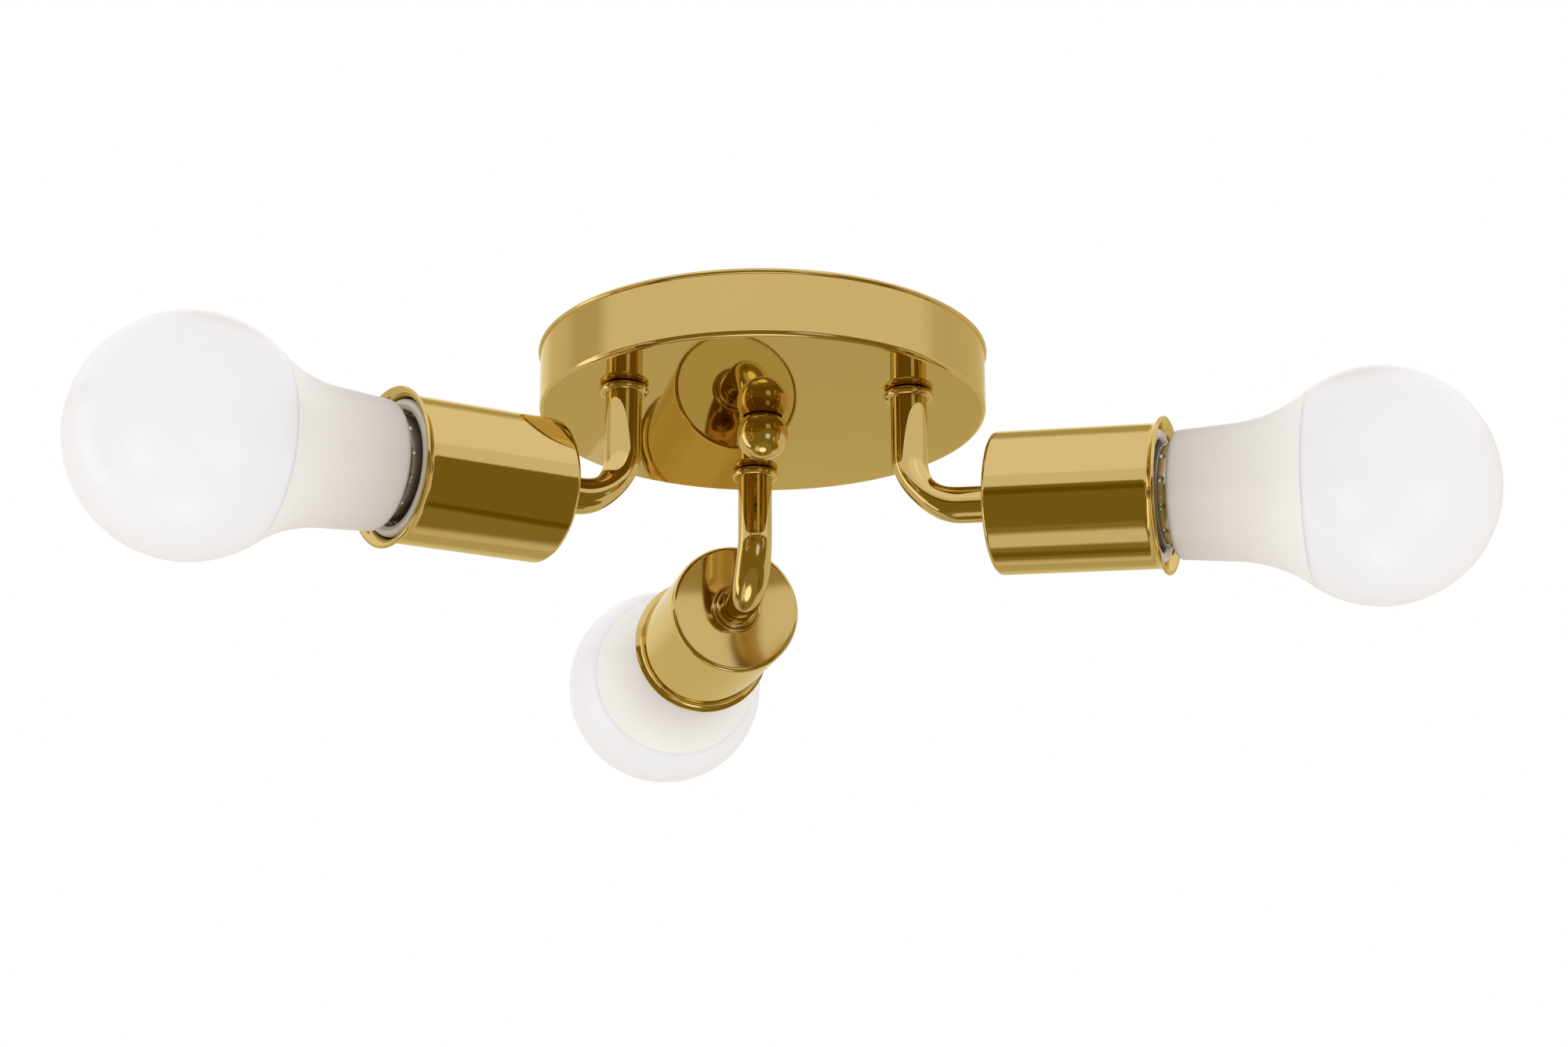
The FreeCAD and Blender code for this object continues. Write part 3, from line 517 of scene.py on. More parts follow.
class Profile:
    """An outline in the plane of radius (X) and length (Z), drawn vertex by vertex and turned about Z."""

    def __init__(self, r: float, z: float) -> None:
        """Args:
            r: radius where the outline starts.
            z: length where it starts.
        """
        self.mesh = bmesh.new()
        self.first = Vector((r, 0.0, z))
        self.tip = bmesh.ops.create_vert(self.mesh, co=self.first)["vert"][0]

    def line(self, r: float, z: float) -> Profile:
        """Draws a straight line, with a support vertex near each end if it is long.

        Args:
            r: radius of its end.
            z: length of its end.

        Returns:
            The profile itself.
        """
        start, end = self.tip.co.copy(), Vector((r, 0.0, z))
        run = end - start
        stops = [end]
        if run.length > 4 * SUPPORT:
            hold = run.normalized() * SUPPORT
            stops = [start + hold, end - hold, end]
        for stop in stops:
            made = bmesh.ops.extrude_vert_indiv(self.mesh, verts=[self.tip])["verts"]
            bmesh.ops.translate(self.mesh, verts=made, vec=stop - self.tip.co)
            self.tip = made[0]
        return self

    def arc(self, r: float, z: float, centre: tuple[float, float], steps: int = CORNER_STEPS) -> Profile:
        """Draws the shorter arc about a centre.

        Args:
            r: radius of its end.
            z: length of its end.
            centre: radius and length of the arc's centre.
            steps: how many edges it has.

        Returns:
            The profile itself.
        """
        hub, end = Vector((centre[0], 0.0, centre[1])), Vector((r, 0.0, z))
        before, after = self.tip.co - hub, end - hub
        turn = math.atan2(before.z, before.x) - math.atan2(after.z, after.x)
        turn = (turn + math.pi) % math.tau - math.pi
        made = bmesh.ops.spin(
            self.mesh, geom=[self.tip], cent=hub, axis=(0.0, 1.0, 0.0), angle=turn, steps=steps,
            use_duplicate=False,
        )
        self.tip = [item for item in made["geom_last"] if isinstance(item, bmesh.types.BMVert)][0]
        self.tip.co = end
        return self

    def close(self) -> Profile:
        """Draws the last line back to the start and returns the profile."""
        return self.line(self.first.x, self.first.z)

    def turned(self, steps: int) -> bmesh.types.BMesh:
        """Turns the outline round Z.

        Args:
            steps: how many faces there are round.

        Returns:
            The closed mesh, faces outwards.
        """
        mesh = self.mesh
        bmesh.ops.remove_doubles(mesh, verts=mesh.verts[:], dist=WELD)
        bmesh.ops.spin(
            mesh, geom=mesh.verts[:] + mesh.edges[:], cent=(0.0, 0.0, 0.0), axis=(0.0, 0.0, 1.0),
            angle=math.tau, steps=steps, use_merge=True, use_duplicate=False,
        )
        bmesh.ops.remove_doubles(mesh, verts=mesh.verts[:], dist=WELD)
        bmesh.ops.recalc_face_normals(mesh, faces=mesh.faces[:])
        return mesh


# ---------------------------------------------------------------- workshop


class Workshop:
    """Turns finished meshes into pieces of the object, and keeps what they share."""

    def __init__(self, frame: dict) -> None:
        """Args:
            frame: what the frame's loading returned.
        """
        self.frame = frame
        self.wardrobe = Wardrobe()
        self.bulbs = bpy.data.collections.new("bulbs")  # globes and housings, lit by lamps of their own

    def joint(self, name: str) -> dict:
        """Returns a joint of the frame by its name."""
        return next(joint for joint in self.frame["joints"] if joint["name"] == name)

    def piece(
        self, mesh: bmesh.types.BMesh, name: str, slot: str, body: str, nodes: Sequence[str],
        place: Matrix | None = None,
    ) -> bpy.types.Object:
        """Makes a piece of a mesh, dresses it and hangs it on its body.

        Args:
            mesh: the finished mesh, which is used up.
            name: the piece's name.
            slot: its finish.
            body: the body that it rides on.
            nodes: the nodes that it stands for.
            place: where the mesh goes, if it isn't there yet.

        Returns:
            The new object.
        """
        if place is not None:
            bmesh.ops.transform(mesh, matrix=place, verts=mesh.verts[:])
        for face in mesh.faces:
            face.smooth = True
        for edge in mesh.edges:
            edge.smooth = not (edge.is_manifold and edge.calc_face_angle() > SHARP)
        data = bpy.data.meshes.new(name)
        mesh.to_mesh(data)
        mesh.free()
        data.materials.append(self.wardrobe.materials[slot])
        made = bpy.data.objects.new(name, data)
        bpy.context.scene.collection.objects.link(made)
        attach(made, body)
        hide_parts(*nodes)
        log.info("%s: %d faces on %s, for %s", name, len(data.polygons), body, ", ".join(nodes))
        return made


# ---------------------------------------------------------------- canopy


@dataclass
class Canopy:
    """The spun canopy with its flat mirror face, and the ball and washer that hold it to the stud."""

    radius: float = 60.0 * MM
    sheet: float = 1.0 * MM
    corner: float = 1.4 * MM
    lip_out: float = 0.6 * MM
    lip_height: float = 1.4 * MM
    arm_hole: float = 4.8 * MM
    stud_hole: float = 3.35 * MM
    ball: float = 6.9 * MM
    ball_hole: float = 4.3 * MM
    washer: float = 4.6 * MM
    washer_bore: float = 3.2 * MM
    round_steps: int = 256
    hole_steps: int = 48
    washer_steps: int = 96

    def build(self, shop: Workshop, roots: Iterable[Vector]) -> None:
        """Builds the canopy, the washer and the ball.

        Args:
            shop: the workshop.
            roots: where the arms go through the face.
        """
        low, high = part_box("canopy")
        shop.piece(self.shell(low.z, high.z, roots), "canopy_shell", "canopy_brass", Body.FIXTURE.value,
                   ["canopy"])
        shop.piece(self.washer_ring(), "finial_seal", "washer_fibre", Body.FINIAL_LIFT.value,
                   ["finial_washer"])
        shop.piece(self.finial(), "ball_finial", "finial_brass", Body.FINIAL.value, ["finial_ball"])

    def shell(self, face: float, rim: float, roots: Iterable[Vector]) -> bmesh.types.BMesh:
        """The sheet canopy: corner, wall and rolled lip are turned, and both sides of the face are filled.

        Args:
            face: height of the flat face.
            rim: height of the rim.
            roots: where the arms go through.

        Returns:
            The closed mesh.
        """
        r, t, c = self.radius, self.sheet, self.corner
        lip = self.lip_height / 2
        lip_r = (self.lip_out ** 2 + lip ** 2) / (2 * self.lip_out)
        lip_hub = (r + self.lip_out - lip_r, rim - lip)
        flat = r - c - SUPPORT
        outline = Profile(flat, face).line(r - c, face).arc(r, face + c, (r - c, face + c), steps=12)
        outline.line(r, rim - self.lip_height).arc(r, rim, lip_hub, steps=12).line(r - t, rim)
        outline.line(r - t, face + c).arc(r - c, face + t, (r - c, face + c)).line(flat, face + t)
        mesh = outline.turned(self.round_steps)
        holes = [(root, self.arm_hole) for root in roots] + [(Vector(), self.stud_hole)]
        for spot, radius in holes:
            at = Matrix.Translation((spot.x, spot.y, face))
            ring = bmesh.ops.create_circle(mesh, segments=self.hole_steps, radius=radius, matrix=at)
            edges = list({edge for vert in ring["verts"] for edge in vert.link_edges})
            grown = bmesh.ops.extrude_edge_only(mesh, edges=edges)["geom"]
            verts = [item for item in grown if isinstance(item, bmesh.types.BMVert)]
            bmesh.ops.translate(mesh, verts=verts, vec=(0.0, 0.0, t))
        for height in (face, face + t):
            open_edges = [
                edge for edge in mesh.edges
                if edge.is_boundary and all(abs(vert.co.z - height) < WELD for vert in edge.verts)
            ]
            bmesh.ops.triangle_fill(mesh, use_beauty=True, edges=open_edges)
        bmesh.ops.recalc_face_normals(mesh, faces=mesh.faces[:])
        return mesh

    def washer_ring(self) -> bmesh.types.BMesh:
        """Returns the fibre washer under the face."""
        low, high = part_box("finial_washer")
        ring = Profile(self.washer_bore, low.z).line(self.washer, low.z).line(self.washer, high.z)
        return ring.line(self.washer_bore, high.z).close().turned(self.washer_steps)

    def finial(self) -> bmesh.types.BMesh:
        """Returns the ball: flat where it meets the washer, and drilled from there past its middle."""
        low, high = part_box("finial_ball")
        middle = low.z + self.ball
        flat = math.sqrt(self.ball ** 2 - (high.z - middle) ** 2)
        floor = middle - self.ball_hole
        outline = Profile(0.0, low.z).arc(flat, high.z, (0.0, middle), steps=40)
        outline.line(self.stud_hole, high.z).line(self.stud_hole, floor).line(0.0, floor)
        return outline.turned(TRIM_STEPS)


# ---------------------------------------------------------------- arms


@dataclass
class Arm:
    """One bent tube with its bead collar under the canopy."""

    name: ArmName
    root: Vector
    back: Vector
    axis: Vector
    tube: float = 4.75 * MM
    wall: float = 1.0 * MM
    bend: float = 14.8 * MM
    top: float = -12.5 * MM
    in_cup: float = 7.0 * MM
    flatten: float = 0.20
    bulge: float = 0.06
    collar: float = 6.45 * MM
    fit: float = 0.05 * MM
    ring_steps: int = 72
    bend_steps: int = 36
    straight_step: float = 2.5 * MM

    @classmethod
    def of(cls, name: ArmName, shop: Workshop) -> Arm:
        """Reads where an arm runs from the frame.

        Args:
            name: which arm.
            shop: the workshop.

        Returns:
            The arm, with its root on the collar's axis and its cup's back and axis from the bulb's joint.
        """
        low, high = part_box(f"face_collar_{name.value}")
        turn = shop.joint(f"bulb_{name.value}_turn")
        return cls(name, (low + high) / 2, Vector(turn["pos_m"]), Vector(turn["axis"]).normalized())

    @property
    def heading(self) -> Vector:
        """The level direction in which the arm turns out."""
        return Vector((self.axis.x, self.axis.y, 0.0)).normalized()

    @property
    def side(self) -> Vector:
        """The level direction square to the arm's plane."""
        return Vector((0.0, 0.0, 1.0)).cross(self.heading)

    @property
    def cup_place(self) -> Matrix:
        """The place of a shape that is built along +Z from the back of the cup."""
        turn = Matrix((self.side, self.axis.cross(self.side), self.axis)).transposed().to_4x4()
        return Matrix.Translation(self.back) @ turn

    def build(self, shop: Workshop) -> None:
        """Builds the tube and its collar."""
        tube = shop.piece(self.tube_mesh(), f"arm_tube_{self.name.value}", "arm_brass",
                          Body.FIXTURE.value, [f"arm_{self.name.value}"])
        wall = tube.modifiers.new("tube_wall", "SOLIDIFY")
        wall.thickness = self.wall
        wall.offset = -1.0
        collar = f"face_collar_{self.name.value}"
        shop.piece(self.collar_mesh(collar), f"bead_collar_{self.name.value}", "trim_brass",
                   Body.FIXTURE.value, [collar])

    def tube_mesh(self) -> bmesh.types.BMesh:
        """The tube's outside: a ring drawn down, round the bend and on into the cup.

        Returns:
            The open mesh. Its rings are pressed flatter towards the middle of the bend.
        """
        down = Vector((0.0, 0.0, -1.0))
        root = Vector((self.root.x, self.root.y, 0.0))
        to_back = (self.back - root).dot(self.heading)
        slope = self.axis.dot(self.heading)
        corner = self.back - self.axis * (to_back / slope)
        turn = down.angle(self.axis)
        tangent = self.bend * math.tan(turn / 2)
        start = corner - down * tangent
        hub = start + self.heading * self.bend
        end = self.back + self.axis * self.in_cup
        mesh = bmesh.new()
        first = Matrix((self.heading, self.side, -down)).transposed().to_4x4()
        at = Matrix.Translation((root.x, root.y, self.top)) @ first
        ring = bmesh.ops.create_circle(mesh, segments=self.ring_steps, radius=self.tube, matrix=at)
        rim = list({edge for vert in ring["verts"] for edge in vert.link_edges})
        rim = self.draw(mesh, rim, down * (self.top - start.z))
        step = turn / self.bend_steps
        swing = Matrix.Rotation(step, 3, -self.side)
        for number in range(1, self.bend_steps + 1):
            rim, verts = self.next_ring(mesh, rim)
            bmesh.ops.rotate(mesh, cent=hub, matrix=swing, verts=verts)
            self.press(mesh, verts, hub, number)
        reach = (end - (corner + self.axis * tangent)).length
        self.draw(mesh, rim, self.axis * reach)
        bmesh.ops.recalc_face_normals(mesh, faces=mesh.faces[:])
        self.face_outwards(mesh, root)
        return mesh

    def press(self, mesh: bmesh.types.BMesh, verts: list, hub: Vector, number: int) -> None:
        """Presses a ring of the bend flatter than the one before it, or lets it grow round again.

        Args:
            mesh: the tube.
            verts: the ring.
            hub: centre of the bend.
            number: the ring's number in the bend.
        """
        before = math.sin(math.pi * (number - 1) / self.bend_steps) ** 2
        now = math.sin(math.pi * number / self.bend_steps) ** 2
        thin = (1 - self.flatten * now) / (1 - self.flatten * before)
        wide = (1 + self.bulge * now) / (1 + self.bulge * before)
        middle = sum((vert.co for vert in verts), Vector()) / len(verts)
        inward = (hub - middle).normalized()
        along = inward.cross(self.side)
        space = Matrix((inward, self.side, along)).to_4x4() @ Matrix.Translation(-middle)
        bmesh.ops.scale(mesh, vec=(thin, wide, 1.0), space=space, verts=verts)

    def draw(self, mesh: bmesh.types.BMesh, rim: list, run: Vector) -> list:
        """Draws a rim straight on in even steps.

        Args:
            mesh: the tube.
            rim: the open edges at its end.
            run: how far, and which way.

        Returns:
            The new open edges.
        """
        count = max(2, round(run.length / self.straight_step))
        for _ in range(count):
            rim, verts = self.next_ring(mesh, rim)
            bmesh.ops.translate(mesh, verts=verts, vec=run / count)
        return rim

    @staticmethod
    def next_ring(mesh: bmesh.types.BMesh, rim: list) -> tuple[list, list]:
        """Extrudes a rim in place.

        Args:
            mesh: the tube.
            rim: the open edges at its end.

        Returns:
            The new open edges and their vertices.
        """
        grown = bmesh.ops.extrude_edge_only(mesh, edges=rim)["geom"]
        verts = [item for item in grown if isinstance(item, bmesh.types.BMVert)]
        inside = set(verts)
        edges = [
            item for item in grown
            if isinstance(item, bmesh.types.BMEdge) and all(vert in inside for vert in item.verts)
        ]
        return edges, verts

    @staticmethod
    def face_outwards(mesh: bmesh.types.BMesh, root: Vector) -> None:
        """Turns an open tube's faces outwards, judged on its upper straight run about the root's axis."""
        top = max(mesh.faces, key=lambda face: face.calc_center_median().z)
        centre = top.calc_center_median()
        if top.normal.dot(Vector((centre.x - root.x, centre.y - root.y, 0.0))) < 0:
            bmesh.ops.reverse_faces(mesh, faces=mesh.faces[:])

    def collar_mesh(self, node: str) -> bmesh.types.BMesh:
        """Returns the bead collar: a ring with a round edge."""
        low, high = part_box(node)
        bore, bead = self.tube + self.fit, (high.z - low.z) / 2
        waist, middle = self.collar - bead, (low.z + high.z) / 2
        outline = Profile(bore, high.z).line(waist, high.z)
        outline.arc(self.collar, middle, (waist, middle), steps=12)
        outline.arc(waist, low.z, (waist, middle), steps=12).line(bore, low.z)
        mesh = outline.close().turned(TRIM_STEPS)
        bmesh.ops.translate(mesh, verts=mesh.verts[:], vec=(self.root.x, self.root.y, 0.0))
        return mesh


# ---------------------------------------------------------------- cup and lampholder


@dataclass
class CupAssembly:
    """A brass cup with its flange, and the lampholder inside it, along the cup's axis from its back."""

    arm: Arm
    radius: float = 18.55 * MM
    length: float = 44.65 * MM
    sheet: float = 1.0 * MM
    corner: float = 1.2 * MM
    lip: float = 20.3 * MM
    flare: float = 3.2 * MM
    flange: float = 7.1 * MM
    flange_height: float = 1.7 * MM
    flange_rim: float = 0.5 * MM
    flange_bead: float = 0.6 * MM
    flange_groove: float = 0.8 * MM
    groove_in: float = 1.1 * MM
    crown_in: float = 1.9 * MM
    crown_hub: float = 0.05 * MM   # offset of the crown's centre, inwards and away from the cup
    holder: float = 17.35 * MM
    holder_bore: float = 14.3 * MM
    holder_front: float = 43.5 * MM
    holder_back: float = 4.4 * MM
    holder_step: float = 9.0 * MM
    holder_neck: float = 7.6 * MM
    holder_floor: float = 12.0 * MM
    holder_crown: float = 1.4 * MM
    holder_chamfer: float = 1.0 * MM
    arm_gap: float = 1.0 * MM
    wire_hole: float = 3.4 * MM
    round_steps: int = 160

    def build(self, shop: Workshop) -> None:
        """Builds the cup, the flange and the lampholder."""
        end = self.arm.name.value
        place, body = self.arm.cup_place, Body.FIXTURE.value
        shop.piece(self.cup_mesh(), f"brass_cup_{end}", "cup_brass", body, [f"cup_{end}"], place)
        shop.piece(self.flange_mesh(), f"back_flange_{end}", "trim_brass", body, [f"cup_flange_{end}"],
                   place)
        shop.piece(self.holder_mesh(), f"holder_{end}", "holder_ivory", body, [f"lampholder_{end}"], place)

    @property
    def bore(self) -> float:
        """The hole in the back for the arm."""
        return self.arm.tube + self.arm.fit

    def cup_mesh(self) -> bmesh.types.BMesh:
        """Returns the drawn cup: round back corner, straight wall, and a lip that flares to a round rim."""
        r, t, c = self.radius, self.sheet, self.corner
        rim_r, rim_s = self.lip - t / 2, self.length - t / 2
        out, along = rim_r - (r - t / 2), self.flare - t / 2
        flare = (out * out + along * along) / (2 * out)
        hub = (r - t / 2 + flare, rim_s - along)
        turn = math.asin(along / flare)
        outer, inner = flare - t / 2, flare + t / 2
        outer_end = (hub[0] - outer * math.cos(turn), hub[1] + outer * math.sin(turn))
        inner_end = (hub[0] - inner * math.cos(turn), hub[1] + inner * math.sin(turn))
        nose = (rim_r + t / 2 * math.sin(turn), rim_s + t / 2 * math.cos(turn))
        outline = Profile(self.bore, 0.0).line(r - c, 0.0).arc(r, c, (r - c, c), steps=10).line(r, hub[1])
        outline.arc(*outer_end, hub, steps=10).arc(*nose, (rim_r, rim_s)).arc(*inner_end, (rim_r, rim_s))
        outline.arc(r - t, hub[1], hub, steps=10).line(r - t, c).arc(r - c, t, (r - c, c))
        mesh = outline.line(self.bore, t).close().turned(self.round_steps)
        spun = mesh.verts.layers.float.new(SPUN)
        for vert in mesh.verts:
            vert[spun] = float(vert.co.z < WELD)
        return mesh

    def flange_mesh(self) -> bmesh.types.BMesh:
        """Returns the dished ferrule with two rings, where the arm enters the back of the cup."""
        r, h, bead, off = self.flange, self.flange_height, self.flange_bead, self.crown_hub
        rim, groove = self.flange_rim, self.flange_groove
        outline = Profile(self.bore, 0.0).line(r, 0.0).line(r, -rim)
        outline.arc(r - bead, -rim - bead, (r - bead, -rim)).line(r - self.groove_in, -groove)
        outline.arc(r - self.crown_in, -h, (r - self.crown_in - off, -groove - off))
        return outline.line(self.bore, -h).close().turned(TRIM_STEPS)

    def holder_mesh(self) -> bmesh.types.BMesh:
        """Returns the deep insulating cup, with a rounded ring at its front."""
        r, bore, front, crown = self.holder, self.holder_bore, self.holder_front, self.holder_crown
        half = (r - bore) / 2
        middle = (r + bore) / 2
        crown_r = (half * half + crown * crown) / (2 * crown)
        hub = (middle, front - crown_r)
        chamfer, arm_seat = self.holder_chamfer, self.arm.in_cup + self.arm_gap
        outline = Profile(self.bore, self.holder_back).line(self.holder_neck, self.holder_back)
        outline.line(self.holder_neck, self.holder_step).line(r - chamfer, self.holder_step)
        outline.line(r, self.holder_step + chamfer).line(r, front - crown)
        outline.arc(middle, front, hub).arc(bore, front - crown, hub)
        outline.line(bore, self.holder_floor).line(self.wire_hole, self.holder_floor)
        outline.line(self.wire_hole, arm_seat).line(self.bore, arm_seat)
        return outline.close().turned(self.round_steps)


# ---------------------------------------------------------------- bulb


@dataclass
class Bulb:
    """A round bulb: frosted diffuser, white housing with a slim neck, nickelled cap with a rolled thread."""

    arm: Arm
    globe: float = 30.0 * MM
    globe_at: float = 97.5 * MM
    seam: float = 25.1 * MM
    seam_at: float = 81.4 * MM
    shoulder: float = 17.4 * MM
    shoulder_at: float = 61.5 * MM
    neck: float = 16.5 * MM
    neck_at: float = 46.6 * MM
    neck_round: float = 1.6 * MM
    skirt: float = 13.2 * MM
    skirt_at: float = 40.2 * MM
    spigot_inset: float = 0.7 * MM
    spigot_bore_inset: float = 2.0 * MM
    spigot_rise: float = 1.4 * MM
    floor_rise: float = 0.5 * MM
    wall: float = 1.3 * MM
    groove: float = 0.07 * MM
    round_steps: int = 144

    def build(self, shop: Workshop) -> None:
        """Builds the diffuser and the housing."""
        end = self.arm.name.value
        place, body = self.arm.cup_place, f"bulb_{end}"
        globe = shop.piece(self.diffuser_mesh(), f"diffuser_{end}", "bulb_diffuser", body,
                           [f"bulb_globe_{end}"], place)
        neck = shop.piece(self.housing_mesh(), f"housing_{end}", "bulb_neck_white", body,
                          [f"bulb_housing_{end}"], place)
        shop.bulbs.objects.link(globe)
        shop.bulbs.objects.link(neck)

    @property
    def lower(self) -> tuple[float, float]:
        """Radius of the globe's lower arc and its slope at the seam."""
        out, up = self.globe - self.seam, self.globe_at - self.seam_at
        radius = (out * out + up * up) / (2 * out)
        return radius, math.asin(up / radius)

    def on_lower(self, inset: float) -> tuple[float, float]:
        """Returns the end of the lower arc at the seam, a distance inside the surface."""
        radius, slope = self.lower
        reach = radius - inset
        return self.globe - radius + reach * math.cos(slope), self.globe_at - reach * math.sin(slope)

    def diffuser_mesh(self) -> bmesh.types.BMesh:
        """Returns the frosted ball, whose lower part runs on in a larger arc to the seam."""
        radius = self.lower[0]
        hub, middle = (self.globe - radius, self.globe_at), (0.0, self.globe_at)
        inner = self.globe - self.wall
        edge_out, edge_in = self.on_lower(self.groove), self.on_lower(self.wall)
        outline = Profile(*edge_in).line(*edge_out).arc(self.globe, self.globe_at, hub, steps=20)
        outline.arc(0.0, self.globe_at + self.globe, middle, steps=44)
        shell = Profile(0.0, self.globe_at + inner).arc(inner, self.globe_at, middle, steps=24)
        shell.arc(*edge_in, hub, steps=12)
        mesh, lining = outline.turned(self.round_steps), shell.turned(self.round_steps)
        return joined(mesh, lining)

    def waist(self, inset: float) -> tuple[tuple[float, float], tuple[float, float]]:
        """The hollow arc from the shoulder to the seam.

        Args:
            inset: distance inside the surface.

        Returns:
            Its start, and its centre.
        """
        straight = self.shoulder_at - self.neck_at - self.neck_round
        start = math.atan((self.shoulder - self.neck) / straight)
        rise, run = self.seam - self.shoulder, self.seam_at - self.shoulder_at
        chord = math.atan2(rise, run)
        radius = math.hypot(rise, run) / (2 * math.sin(chord - start))
        hub = (self.shoulder + radius * math.cos(start), self.shoulder_at - radius * math.sin(start))
        reach = radius + inset
        return (hub[0] - reach * math.cos(start), hub[1] + reach * math.sin(start)), hub

    def housing_mesh(self) -> bmesh.types.BMesh:
        """Returns the white housing: a spigot in the cap, the neck, and the waist up to the seam."""
        low, hub = self.waist(0.0)
        low_in, _ = self.waist(self.wall)
        spigot, bore = self.skirt - self.spigot_inset, self.skirt - self.spigot_bore_inset
        foot, round_off = self.skirt_at + self.spigot_rise, self.neck_round
        floor = self.neck_at + self.wall + self.floor_rise
        hub_r, hub_at = self.neck - round_off, self.neck_at + round_off
        outline = Profile(bore, foot).line(spigot, foot).line(spigot, self.neck_at).line(hub_r, self.neck_at)
        outline.arc(self.neck, hub_at, (hub_r, hub_at))
        outline.line(*low).arc(*self.on_lower(self.groove), hub, steps=28).line(*self.on_lower(self.wall))
        outline.arc(*low_in, hub, steps=16).line(self.neck - self.wall, floor).line(bore, floor)
        mesh = outline.close().turned(self.round_steps)
        # how far up the housing each vertex lies; it spreads the painted shade at the foot
        rise = mesh.verts.layers.float.new(PAINTED_SHADE_RISE)
        for vert in mesh.verts:
            vert[rise] = min(1.0, max(0.0, (vert.co.z - self.neck_at) / (self.seam_at - self.neck_at)))
        return mesh


def joined(mesh: bmesh.types.BMesh, other: bmesh.types.BMesh) -> bmesh.types.BMesh:
    """Welds an outer mesh and its lining into one closed shell.

    Args:
        mesh: the outside, open along one edge.
        other: the lining, open along the same edge; it is used up.

    Returns:
        The outer mesh with the lining in it, faces outwards.
    """
    data = bpy.data.meshes.new("lining")
    other.to_mesh(data)
    other.free()
    mesh.from_mesh(data)
    bpy.data.meshes.remove(data)
    bmesh.ops.remove_doubles(mesh, verts=mesh.verts[:], dist=WELD)
    bmesh.ops.recalc_face_normals(mesh, faces=mesh.faces[:])
    return mesh


# ---------------------------------------------------------------- studio


@dataclass(frozen=True)
class Zone:
    """A part of the studio that polished metal reflects, in degrees round from +Y towards +X and up."""

    azimuth: float
    half_width: float
    low: float
    high: float
    colour: Colour
    soft: float = 3.0
    soft_sides: float = 3.0


BRASS_DROPS = (0, 30, 95)        # how far a tone's red, green and blue lie under its red, of 255
PANEL_WHITE = (1.0, 1.0, 0.97)   # colour of a lit white panel


def tone(red: int) -> Colour:
    """Works out the light that the brass mirrors as one of its tones.

    Args:
        red: the tone's red, 0 to 255.

    Returns:
        The light's colour.
    """
    shown = Color([max(0, red - drop) / 255 for drop in BRASS_DROPS]).from_srgb_to_scene_linear()
    return tuple(2 * part / (first + second) for part, first, second in zip(shown, BRASS, BRASS_DEEP))


def panel(strength: float) -> Colour:
    """Returns the light of a white panel."""
    return tuple(strength * part for part in PANEL_WHITE)


@dataclass(frozen=True)
class Softbox:
    """A lit white rectangle turned towards the light.

    A flagged one reaches only the bulbs. One without flags lights every piece and isn't mirrored in any.
    """

    name: str
    place: Vector
    width: float
    height: float
    radiance: float
    flagged: bool = True

    def build(self, bulbs: bpy.types.Collection) -> None:
        """Makes the lamp, turned towards the origin.

        Args:
            bulbs: the bulbs' pieces, the only ones that a flagged lamp reaches.
        """
        data = bpy.data.lights.new(self.name, "AREA")
        data.shape = "RECTANGLE"
        data.size, data.size_y = self.width, self.height
        data.energy = self.radiance * math.pi * self.width * self.height
        lamp = bpy.data.objects.new(self.name, data)
        turn = (-self.place).to_track_quat("-Z", "Y").to_matrix().to_4x4()
        lamp.matrix_world = Matrix.Translation(self.place) @ turn
        lamp.visible_camera = False
        lamp.visible_glossy = self.flagged
        if self.flagged:
            lamp.light_linking.receiver_collection = bulbs
        bpy.context.scene.collection.objects.link(lamp)


